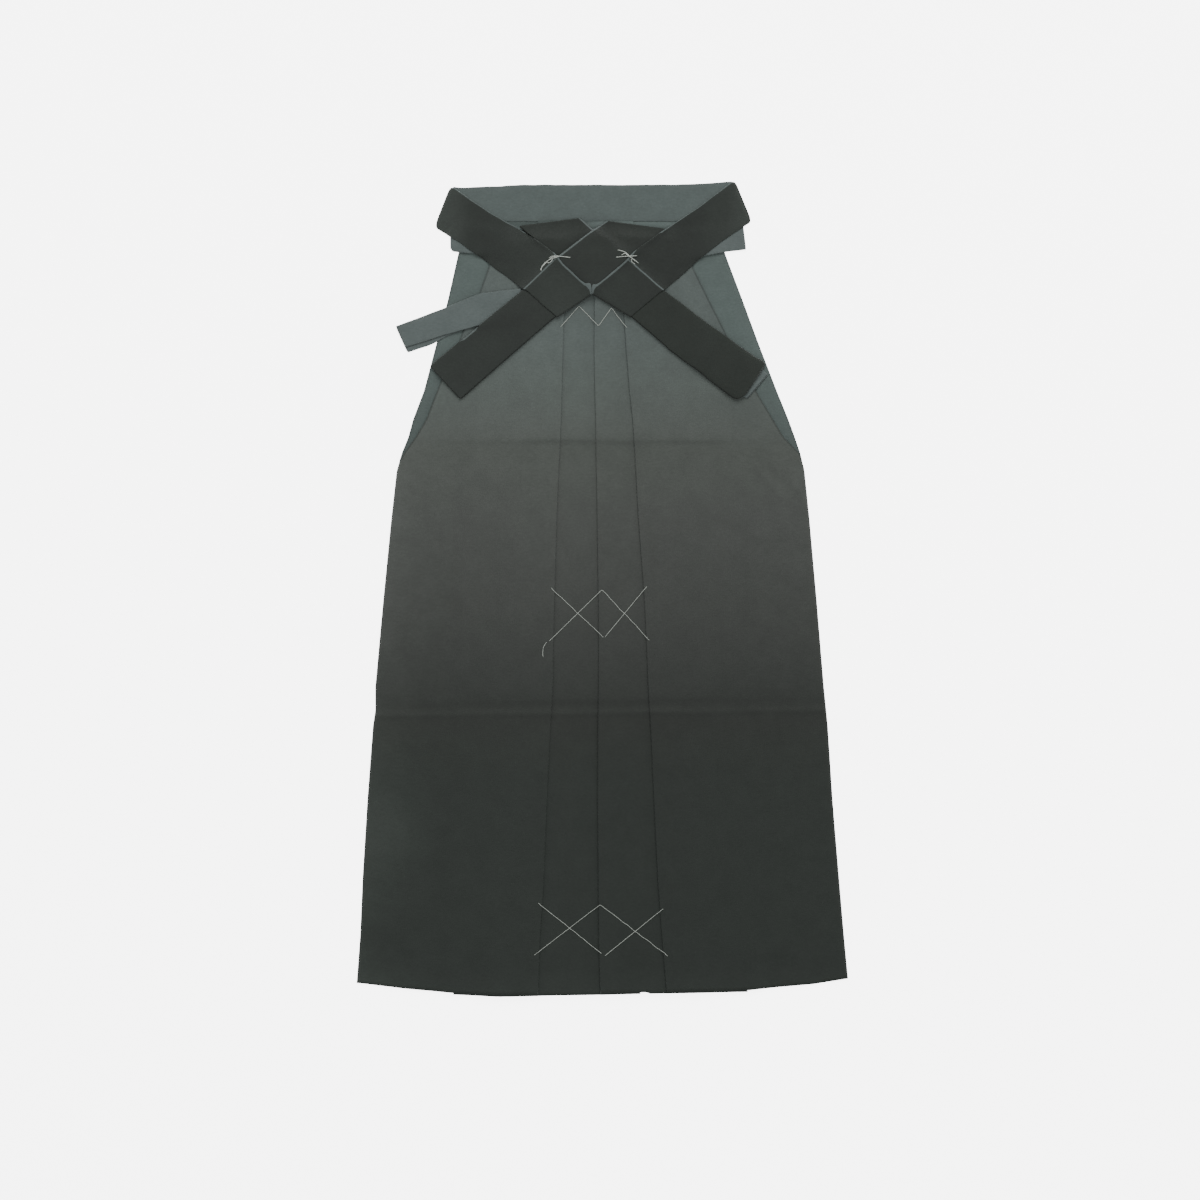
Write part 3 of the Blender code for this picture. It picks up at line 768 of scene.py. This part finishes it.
def top_round(x, y, names, reach):
    """The highest place within a reach."""
    height = top_of(x, y, names)
    for step in range(8):
        angle = step * math.tau / 8
        height = max(height, top_of(x + reach * math.cos(angle), y + reach * math.sin(angle), names))
    return height


def uneven_at(x, y, reach, seed):
    """A soft random height or width at one place, the same each time."""
    return noise.noise(Vector((x / reach, y / reach, seed)))


def between(places, spacing, least=1):
    """Evenly spaced places on the straight lines between some places."""
    made = []
    for start, end in zip(places, places[1:]):
        start, end = np.array(start, float), np.array(end, float)
        length = max(math.dist(start[:2], end[:2]), math.dist(start[-2:], end[-2:]))
        steps = max(least, round(length / spacing))
        made += [start + (end - start) * i / steps for i in range(steps)]
    return np.array(made + [np.array(places[-1], float)])


def ease_bends(places, passes):
    """Take the sharpness out of a line's bends."""
    for _ in range(passes):
        places[1:-1] = (places[:-2] + 2 * places[1:-1] + places[2:]) / 4


def from_end(lines):
    """How far each cross line of a strip lies from its first end."""
    middles = (lines[:, :2] + lines[:, 2:]) / 2
    return added_up(np.linalg.norm(np.diff(middles, axis=0), axis=1))


def crossways(lines):
    """The direction in plan of each cross line, from upper to lower side."""
    square = lines[:, 2:] - lines[:, :2]
    return square / np.linalg.norm(square, axis=1, keepdims=True)


# Closer cross lines where an end's corners are rounded, as shares of the corner's radius.
CORNER_ROWS = (0.0, 0.04, 0.15, 0.35, 0.6, 1.0)


def round_corners(lines, corner):
    """The strip with the two corners of its first end rounded."""
    away = from_end(lines)
    near = corner * np.array(CORNER_ROWS)
    extra = np.stack([np.interp(near, away, column) for column in lines.T], axis=1)
    lines = np.concatenate([extra, lines[away > corner + 1]])
    inset = corner - np.sqrt(np.maximum(0.0, corner**2 - np.maximum(0.0, corner - from_end(lines)) ** 2))
    inward = crossways(lines) * inset[:, None]
    return lines + np.hstack([inward, -inward])


def strip_lines(strip, spacing=STRIP_SPACING, corner_start=0.0, corner_end=0.0):
    """Cross lines of a strip at an even spacing, with its bends eased and its end corners rounded."""
    lines = between(strip, spacing)
    ease_bends(lines, BEND_PASSES)
    if corner_start:
        lines = round_corners(lines, corner_start)
    if corner_end:
        lines = round_corners(lines[::-1], corner_end)[::-1]
    for line in lines:
        line += EDGE_WAVER * uneven_at(line[0], line[1], 16, 1.0)
    return lines


# Columns lie closer together towards both edges, where a pressed strip rounds over.
column_swing = np.linspace(0.0, math.pi, STRIP_COLUMNS + 1)
column_share = (1 - np.cos(column_swing)) / 2
column_fullness = np.sqrt(np.maximum(0.0, 1 - np.abs(np.cos(column_swing)) ** 6))
END_FULLNESS = 0.8


def rest_strip(lines, below, wall, reach=2.0, taut=14, further=((), -math.inf)):
    """Middle surface of a strip laid on the named pieces and drawn taut between their high places.

    further names pieces that it lies on only where its upper edge is lower down than a height.
    """
    across = column_share[None, :, None]
    plan = lines[:, None, :2] * (1 - across) + lines[:, None, 2:] * across
    lowest = []
    for row in plan:
        names = below + further[0] if row[0][1] < further[1] else below
        lowest.append([top_round(x, y, names, reach) for x, y in row])
    lowest = np.array(lowest)
    lowest += AIR + wall / 2
    height = lowest.copy()
    for _ in range(taut):
        around = np.pad(height, 1, mode="edge")
        along = (around[:-2, 1:-1] + around[2:, 1:-1]) / 2
        aside = (around[1:-1, :-2] + around[1:-1, 2:]) / 2
        height = np.maximum(lowest, TAUT_ALONG * along + (1 - TAUT_ALONG) * aside)
    for row, heights in zip(plan, height):
        heights += [STRIP_UNEVENNESS * (0.5 + 0.5 * uneven_at(x, y, 24, 7.0)) for x, y in row]
    return np.dstack([plan, height])


def sew_strip(
    node, middle, wall, material, rolled=None, crease=None, top=None
):
    """A strip sewn as a tube and pressed flat, with both faces, round edges and closed ends.

    Its UV map runs round the tube from its upper edge, over the face and back along the reverse.
    rolled is how far the pale reverse rolls over the upper edge at each row, a line that is partly a
    painted highlight on the lit edge; crease is a line in plan where the strip was pressed hard over
    what lies beneath, and a painted highlight runs along it; top is the surface that carries others,
    where it isn't the whole strip.
    """
    full = np.ones(len(middle))
    full[0] = full[-1] = 0.0
    full[1] = full[-2] = END_FULLNESS
    centre = STRIP_COLUMNS // 2
    normal = np.cross(np.gradient(middle, axis=1), np.gradient(middle, axis=0))
    normal /= np.maximum(np.linalg.norm(normal, axis=2, keepdims=True), 1e-9)
    if normal[2 + int(np.argmax(middle[2:-2, centre, 2])), centre, 2] < 0:
        normal = -normal
    puffed = normal * (column_fullness[None, :, None] * full[:, None, None] * wall / 2)
    ring = np.concatenate([middle + puffed, (middle - puffed)[:, -2::-1]], axis=1)
    widths = np.linalg.norm(middle[:, -1] - middle[:, 0], axis=1)
    u = np.outer(widths, np.concatenate([column_share, 2 - column_share[-2::-1]]))
    v = added_up(np.linalg.norm(np.diff(middle[:, centre], axis=0), axis=1))
    marks = {"rolled_over_and_highlight": np.zeros(u.shape), "from_crease": np.full(u.shape, FAR)}
    if rolled:
        marks["rolled_over_and_highlight"] += np.array(rolled)[:, None]
    if crease:
        marks["from_crease"] = np.array(
            [[min((from_line(x, y, *start, *end) for start, end in zip(crease, crease[1:])), key=abs)
              for x, y, _ in row] for row in ring]
        )
    form = cloth_form(ring, u, np.broadcast_to(v[:, None], u.shape), marks)
    bmesh.ops.remove_doubles(form, verts=form.verts[:], dist=1e-6)
    put_on(cloth_piece(node, form, material), node)
    lay_down(node, middle if top is None else top, wall / 2)


def dyed_evenly(tree, colour):
    """One colour of dye all over."""
    return shaded(tree, "CombineXYZ", "Vector", zip("XYZ", colour))


BAND_GREEN = (0.0517, 0.0635, 0.0607)
TIE_DARK = (0.0160, 0.0190, 0.0168)
TIE_PALE = (0.0580, 0.0698, 0.0678)

lay_down("back_panel", back_rows, CREPE_WALL / 2)
lay_down("front_panel", front_rows, CREPE_WALL / 2)
skirt = ("back_panel", "front_panel")

back_band = rest_strip(strip_lines(BACK_BAND, BACK_BAND_SPACING), (), BACK_BAND_WALL)
back_band[:, :, 2] = BACK_BAND_WALL / 2 + FLOOR_CLEARANCE
back_crepe = crepe("band_crepe", lambda tree: dyed_evenly(tree, BAND_GREEN))
sew_strip("back_waistband", back_band, BACK_BAND_WALL, back_crepe)

front_band = rest_strip(strip_lines(FRONT_BAND), skirt, FRONT_BAND_WALL)
front_crepe = crepe("front_band_crepe", lambda tree: dyed_evenly(tree, TIE_DARK))
sew_strip(
    "front_waistband", front_band, FRONT_BAND_WALL, front_crepe
)
waist = skirt + ("back_waistband", "front_waistband")


# ---- Ties: turned-back starts and loose ends ---------
# Each front tie leaves its end of the front band and turns straight back, showing its pale face.
# The left back tie's folded end comes out past the side, and a sliver of the right one shows.

TIE_WALL = 1.1
TAIL_WALL = 0.8
TAIL_GAPE = 1.1
TURNBACK_PITCH = 1.5
TURN_STEPS = 5
LEFT_TURNBACK = (
    (-190.2, 458, -190.2, 426.5), (-184, 458, -184, 425.2), (-155, 455, -155, 423),
    (-134.5, 452, -134.5, 420),
)
RIGHT_TURNBACK = (
    (176.6, 461, 180.5, 428.6), (152, 457, 153, 425.1), (112, 450.5, 112, 417),
)
LEFT_TAIL = (
    (-259.8, 332, -247.6, 305.6), (-201, 354, -193, 322.6), (-154, 373.5, -148, 334.5),
    (-102, 379, -98, 348),
)
LEFT_TAIL_UNDER = (
    (-256.5, 327, -244.6, 298.8), (-226, 339, -215, 308.6), (-201, 348, -194, 320.4),
    (-154, 369, -148, 336.5), (-114, 374, -108, 347),
)
RIGHT_TAIL = (
    (148, 324, 116, 281.5), (209.4, 271, 182.6, 240.2),
)


def outward(lines):
    """Direction in plan out of a strip's first line, square to that line."""
    first, second = lines[0], lines[1]
    square = np.array([first[3] - first[1], first[0] - first[2]])
    square /= np.linalg.norm(square)
    onward = (second[:2] + second[2:] - first[:2] - first[2:]) / 2
    return -square if square @ onward > 0 else square


def fold_row(low, high, out):
    """Rows of a pressed fold from one row of points up to another, bulging outward."""
    rows = []
    for step in range(1, TURN_STEPS):
        swing = math.pi * step / TURN_STEPS
        share = (1 - math.cos(swing)) / 2
        row = low * (1 - share) + high * share
        row[:, :2] += out * (np.abs(high[:, 2:] - low[:, 2:]) / 2 * math.sin(swing))
        rows.append(row)
    return np.array(rows)


def to_and_fro(lines, middle, layers, spacing, stagger=(0.0,)):
    """A strip folded to and fro: its layers on each other, joined by folds at both ends."""
    stack = []
    ends = (outward(lines[::-1]), outward(lines))
    for layer in range(layers):
        surface = middle.copy()
        if layer < layers - 1:
            surface[0] = (surface[0] + surface[1]) / 2
            surface[-1] = (surface[-1] + surface[-2]) / 2
        surface[:, :, 2] += layer * spacing
        surface[:, :, :2] += crossways(lines)[:, None, :] * stagger[layer % len(stagger)]
        if layer % 2:
            surface = surface[::-1]
        if stack:
            stack.append(fold_row(stack[-1][-1], surface[0], ends[(layer - 1) % 2]))
        stack.append(surface)
    return np.concatenate(stack)


pale_crepe = crepe("pale_tie_crepe", lambda tree: dyed_evenly(tree, TIE_PALE))
for side, strip, corner in (("left", LEFT_TURNBACK, 3.0), ("right", RIGHT_TURNBACK, 0.0)):
    lines = strip_lines(strip, corner_start=corner)
    lower = rest_strip(lines, ("back_panel",), TIE_WALL)
    turnback = to_and_fro(lines[::-1], lower[::-1], 2, TURNBACK_PITCH)
    node = "front_tie_" + side + "_turnback"
    sew_strip(node, turnback, TIE_WALL, pale_crepe)

under = rest_strip(strip_lines(LEFT_TAIL_UNDER), skirt, TAIL_WALL)
over_lines = strip_lines(LEFT_TAIL)
over = rest_strip(over_lines, skirt, TAIL_WALL)
over[:, :, 2] += TAIL_WALL + TAIL_GAPE
left_tail = np.concatenate([under[::-1], fold_row(under[0], over[0], outward(over_lines)), over])
sew_strip(
    "back_tie_left_tail", left_tail, TAIL_WALL, pale_crepe,
    top=over,
)

right_tail = rest_strip(strip_lines(RIGHT_TAIL), skirt, TIE_WALL)
sew_strip(
    "back_tie_right_tail", right_tail, TIE_WALL, pale_crepe
)


# ---- Ties: the lattice -------------------------------
# Both front ties are folded to and fro into flat bundles that cross below the band.  The back ties
# come from the ends of the back band, cross over a bundle each, turn round its lower edge and tuck
# in beneath it.  The cloth is dark outside and pale inside, and the pale side rolls over the upper
# edges as a thin line, which is partly a painted highlight where those edges catch the light.  A
# painted highlight also runs where each back tie crosses its bundle's upper edge.

RIGHT_BUNDLE = (
    (-27.5, 467.3, -104.5, 457.5), (-11.5, 454, -58.5, 419.2), (33, 414.5, -8, 375),
    (73, 380, 39.7, 341.3), (122, 342.7, 89.5, 298.2), (157.8, 317, 124.3, 272.7),
    (193.5, 291.4, 158.1, 245.7), (201.5, 288.8, 170, 239), (205.4, 283.7, 180.6, 246),
)
LEFT_BUNDLE = (
    (4.5, 463.5, 80.5, 453.5), (-11.5, 453, 38.5, 422), (-34.5, 435.3, 14, 398.2),
    (-57.5, 417.5, -12.5, 374), (-98, 378.4, -59.5, 343.6), (-154.9, 332.4, -118.9, 292.5),
    (-216.6, 282.2, -178.2, 240.7),
)
LEFT_CROSSING = (
    (-190.7, 509.2, -211.2, 456.6), (-147, 478.5, -177.9, 435.9), (-101.2, 452.2, -144.2, 411.6),
    (-58.2, 422, -99.5, 377.6), (-53.2, 413.2, -93, 374.5), (-22.4, 385.2, -68.2, 352.4),
    (-20.6, 383.9, -67, 351.4), (-19, 384.2, -66, 350.4), (-16.8, 386, -64.6, 349.2),
    (-14.8, 387.2, -63.2, 348.2), (-13.8, 385.6, -62, 347.2), (-13.5, 381.8, -60.8, 346.2),
    (-13.5, 373.5, -58, 343.6),
)
RIGHT_CROSSING = (
    (166.4, 516.2, 188.1, 463.8), (119.8, 481.2, 153, 440.5), (77, 452.6, 120.3, 414.6),
    (57.2, 438.1, 100, 395.4), (37.4, 423.6, 78.8, 377.8), (30.6, 414.4, 72.5, 374.2),
    (-4.5, 385, 43.9, 350.2), (-7.6, 382.8, 42.4, 349), (-9.6, 382.4, 41.2, 348),
    (-11.4, 384, 40.2, 347.2), (-13, 386.2, 39, 346.2), (-13.3, 384, 38.4, 345.6),
    (-13.3, 374, 36.5, 344),
)
BUNDLE_LAYERS = 3
BUNDLE_PITCH = 1.2
BUNDLE_HEIGHT = BUNDLE_LAYERS * BUNDLE_PITCH
BUNDLE_STAGGER = (0.7, -0.4, 0.0)
WRAP_BULGE = 1.5
WRAP_STEPS = 8
TUCK_DEPTHS = (3.5, 7.0, 10.0)
CENTRE_TIP = (-14.2, 385.0)
TIP_ROLL = 4.2
TIP_REACH = 6.0
CREASE_HIGHLIGHT_HALF_WIDTH = 0.9
ROLL_WIDTH = 2.1
ROLL_UNEVENNESS = 0.5
ROLL_FADE = 3.0
ROLL_ON_BAND = 0.5
COVER_FADE = 4.0
START_BULGE = 0.6

# The pale cloth meets the dark over this much on either side of a roll's edge, and so does the
# painted highlight along a crease.
ROLL_BLUR = 0.25
CREASE_HIGHLIGHT_BLUR = 0.3

# Places of a mix node's colour sockets, which share their names with its other sockets.
FIRST_COLOUR = 6
SECOND_COLOUR = 7
MIXED_COLOUR = 2


def with_pale_edge_and_highlight(tree, dark):
    """A dark face; pale where the reverse rolls over, partly a painted highlight, and a painted highlight
    along the crease where a strip crosses a bundle's edge.
    """
    flat = shaded(tree, "UVMap", "UV", uv_map="flat_cut")
    across = shaded(tree, "SeparateXYZ", "X", {"Vector": flat})
    past = maths(tree, "SUBTRACT", across, marked(tree, "rolled_over_and_highlight"))
    face = mapped(tree, past, -ROLL_BLUR * MM, ROLL_BLUR * MM)
    # Painted highlight: a pale band along the crease where the strip steps over a bundle's upper edge.
    apart = maths(tree, "ABSOLUTE", marked(tree, "from_crease"))
    highlight_inner, highlight_outer = CREASE_HIGHLIGHT_HALF_WIDTH - CREASE_HIGHLIGHT_BLUR, CREASE_HIGHLIGHT_HALF_WIDTH + CREASE_HIGHLIGHT_BLUR
    shown = maths(tree, "MULTIPLY", face, mapped(tree, apart, highlight_inner * MM, highlight_outer * MM))
    colours = {FIRST_COLOUR: (*TIE_PALE, 1.0), SECOND_COLOUR: dark}
    return shaded(tree, "Mix", MIXED_COLOUR, {"Factor": shown, **colours}, data_type="RGBA")


# Painted light: the dark colour is made paler at the crossings' starts, which are turned round the band's
# ends, and a little stronger or weaker elsewhere along them.
LEFT_CROSSING_PAINTED_LIGHT = (
    (-216, 1.72), (-197, 1.6), (-183, 1.36), (-168, 1.04), (-150, 0.96), (-130, 1.0), (-110, 1.05),
    (-85, 1.15), (-55, 1.2), (0, 1.2),
)
RIGHT_CROSSING_PAINTED_LIGHT = (
    (-20, 1.08), (20, 1.06), (60, 0.93), (104, 0.87), (125, 0.94), (142, 1.08), (157, 1.13),
    (170, 1.32), (192, 1.42),
)
LEFT_BUNDLE_DYE = (
    (240, (0.0172, 0.0203, 0.0181)),
    (425, (0.0166, 0.0194, 0.0172)),
    (450, (0.0140, 0.0166, 0.0144)),
)
RIGHT_BUNDLE_DYE = (
    (240, (0.0138, 0.0168, 0.0142)),
    (400, (0.0142, 0.0174, 0.0147)),
    (450, (0.0150, 0.0178, 0.0156)),
)

upper_edges = {}


def roll_at(x, y):
    """How far the pale reverse, partly a painted highlight, rolls over an upper edge at this place."""
    return ROLL_WIDTH + ROLL_UNEVENNESS * uneven_at(x, y, 18, 2.0)


def lay_bundle(side, strip, dyes, below, corner_end, rolled_between):
    """A front tie folded to and fro, from its fold near the band down to the side.

    rolled_between gives the heights on the garment between which the pale reverse, partly a painted
    highlight, rolls over the edge.
    """
    name = "front_tie_" + side + "_bundle"
    lines = strip_lines(strip, corner_end=corner_end)
    lowest = rest_strip(lines, below, BUNDLE_PITCH)
    middle = to_and_fro(lines, lowest, BUNDLE_LAYERS, BUNDLE_PITCH, BUNDLE_STAGGER)
    upper_edges[name] = [(line[0], line[1]) for line in lines]
    rolled = []
    for row in middle:
        x, y = row[0][:2]
        inside = max(min(y - low, high - y) for low, high in rolled_between)
        rolled.append(roll_at(x, y) * within_one(inside / ROLL_FADE))
    dyed = crepe(side + "_bundle_crepe", lambda tree: with_pale_edge_and_highlight(tree, dyed_by_height(tree, dyes)))
    highest = lowest + np.array([0.0, 0.0, (BUNDLE_LAYERS - 1) * BUNDLE_PITCH])
    sew_strip(
        name, middle, TIE_WALL, dyed, rolled=rolled, top=highest
    )


def lay_crossing(side, strip, light_strengths, bundle, below, corner, covered, further):
    """A back tie from the band's end, over a bundle, round its edge and a little way beneath it.

    covered gives the heights on the garment between which another tie hides the rolled edge.
    """
    name = "back_tie_" + side + "_crossing"
    lines = strip_lines(strip, corner_start=corner)
    over = rest_strip(lines, below + (bundle,), TIE_WALL, reach=1.2, taut=5, further=further)
    start = over[0].copy()
    start[:, 2] = TIE_WALL / 2
    rows = [start, *fold_row(start, over[0], outward(lines) * START_BULGE), *over]
    out = outward(lines[::-1])
    edge = over[-1]
    bundle_top = [top_of(x - out[0], y - out[1], (bundle,)) for x, y, _ in edge]
    bundle_middle = np.maximum(bundle_top, edge[:, 2] - 2 * TIE_WALL) - BUNDLE_HEIGHT / 2
    for step in range(1, WRAP_STEPS + 1):
        swing = math.pi * step / WRAP_STEPS
        row = edge.copy()
        row[:, :2] += out * WRAP_BULGE * math.sin(swing)
        row[:, 2] = bundle_middle + (edge[:, 2] - bundle_middle) * math.cos(swing)
        rows.append(row)
    for depth in TUCK_DEPTHS:
        rows.append(row - np.array([*(out * depth), 0.0]))
    rolled = []
    for row in rows:
        x, y = row[0][:2]
        hidden = within_one(min(y - covered[0], covered[1] - y) / COVER_FADE)
        tip = TIP_ROLL * math.exp(-(math.hypot(x - CENTRE_TIP[0], y - CENTRE_TIP[1]) / TIP_REACH) ** 2)
        on_band = ROLL_ON_BAND if y > covered[1] else 1.0
        rolled.append(roll_at(x, y) * on_band * (1 - hidden) + tip)

    # The tie's dark colour with painted light along it.
    def dark_with_painted_light(tree):
        return with_pale_edge_and_highlight(tree, painted_light_across(tree, dyed_evenly(tree, TIE_DARK), light_strengths))

    sew_strip(
        name, np.array(rows), TIE_WALL, crepe(side + "_crossing_crepe", dark_with_painted_light),
        rolled=rolled, crease=upper_edges[bundle], top=over,
    )


lay_bundle(
    "right", RIGHT_BUNDLE, RIGHT_BUNDLE_DYE, waist + ("back_tie_right_tail",),
    corner_end=0.0, rolled_between=((378, math.inf),),
)
lay_bundle(
    "left", LEFT_BUNDLE, LEFT_BUNDLE_DYE, waist + ("back_tie_left_tail", "front_tie_right_bundle"),
    corner_end=1.5, rolled_between=((377, math.inf), (313, 331)),
)
lay_crossing(
    "left", LEFT_CROSSING, LEFT_CROSSING_PAINTED_LIGHT, "front_tie_left_bundle",
    waist + ("front_tie_left_turnback", "back_tie_left_tail"),
    corner=5.8, covered=(421, 452), further=(("front_tie_right_bundle",), 455.0),
)
lay_crossing(
    "right", RIGHT_CROSSING, RIGHT_CROSSING_PAINTED_LIGHT, "front_tie_right_bundle",
    waist + ("front_tie_right_turnback",),
    corner=4.8, covered=(424, 452), further=(("front_tie_left_bundle",), 456.0),
)


# ---- Basting threads ---------------------------------
# Loose white cotton stitches hold the pleats and the lattice for sale.  Each run goes from one
# stitch hole to the next across the cloth, and two knots sit where the ties cross.

THREAD_RADIUS = 0.35
THREAD_STEP = 1.5
THREAD_LIFT = 0.45
THREAD_REACH = 1.0
THREAD_TAUT = 12

# Places that each thread passes over, from one stitch hole to the next.
BASTING = (
    ((-52.7, 330.4), (-29.4, 357.2), (-4.7, 331.8), (11.3, 354.6), (30.6, 329.6)),
    ((-64.8, 2.4), (1.3, -60.2)),
    ((-67.2, -65), (-0.5, 0), (59.1, -63.6)),
    ((3.2, -59.7), (55.8, 3.9)),
    ((-70.1, -66), (-73, -70), (-74.5, -73.7), (-75.3, -79.5), (-74.5, -84.8)),
    ((-80.8, -394.3), (-1.1, -458)),
    ((-86.2, -460.4), (-2.7, -396.3), (82.5, -461.2)),
    ((3.4, -460.5), (76.7, -401.4)),
)

# The two knots, strand by strand.
KNOTS = (
    ((-77.2, 401.3), (-76.2, 406.4), (-72.4, 410.8), (-66.8, 415), (-62.4, 415.9), (-53.6, 419)),
    ((-77.8, 403), (-74.6, 407.4), (-69, 413), (-64, 417.6), (-58, 418.6)),
    ((-66.9, 417.2), (-63.1, 419.3), (-55.3, 419), (-48.5, 418.2), (-40.6, 417.5)),
    ((-62.4, 416.4), (-63.6, 412.8), (-66.8, 410.6), (-69.9, 411)),
    ((17.3, 417.8), (28.9, 418.8), (34, 419.1), (43.5, 419.9)),
    ((19.4, 426.8), (24.6, 425.5), (28, 424.6), (31.4, 421.8), (34, 419), (40.1, 414.8),
     (45.1, 410.6)),
    ((24.2, 420.4), (28.4, 423.4), (32.4, 419.6), (36.5, 417.4), (41, 412.9)),
    ((36.6, 417), (36.2, 412.2), (40.8, 409.4)),
)


def thread_path(places, names, sway, slackness):
    """Points of one thread over the named pieces, dipping into the cloth at both ends.

    A slack thread takes its turns in curves; a tight one goes straight from stitch to stitch.
    """
    path = between(places, THREAD_STEP, least=2)
    ease_bends(path, slackness)
    heights = np.array([top_round(x, y, names, THREAD_REACH) + THREAD_LIFT for x, y in path])
    for _ in range(THREAD_TAUT):
        heights[1:-1] = np.maximum(heights[1:-1], (heights[:-2] + heights[2:]) / 2)
    points = []
    for (x, y), height in zip(path, heights):
        aside = sway * uneven_at(x, y, 9, 5.0)
        points.append(Vector((x + aside, y + aside, height)))
    for end in (points[0], points[-1]):
        end.z -= 2 * THREAD_LIFT
    return points


thread_curve = bpy.data.curves.new("basting_threads", "CURVE")
thread_curve.dimensions = "3D"
thread_curve.bevel_depth = THREAD_RADIUS * MM
thread_curve.bevel_resolution = 2
thread_curve.use_fill_caps = True
lattice = (
    "front_tie_left_bundle", "front_tie_right_bundle", "back_tie_left_crossing", "back_tie_right_crossing"
)
for runs, names, sway, slackness, thickness in (
    (BASTING, skirt, 0.5, 1, 0.95), (KNOTS, lattice, 0.2, 3, 1.5)
):
    for places in runs:
        points = thread_path(places, names, sway, slackness)
        spline = thread_curve.splines.new("POLY")
        spline.points.add(len(points) - 1)
        for point, place in zip(spline.points, points):
            point.co = (*(place * MM), 1.0)
            point.radius = thickness
thread_cotton = finish_of("thread_cotton", {"Base Color": (0.25, 0.27, 0.245, 1.0), "Roughness": 0.8})
thread_curve.materials.append(thread_cotton)
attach(placed("basting_threads", thread_curve), "root")
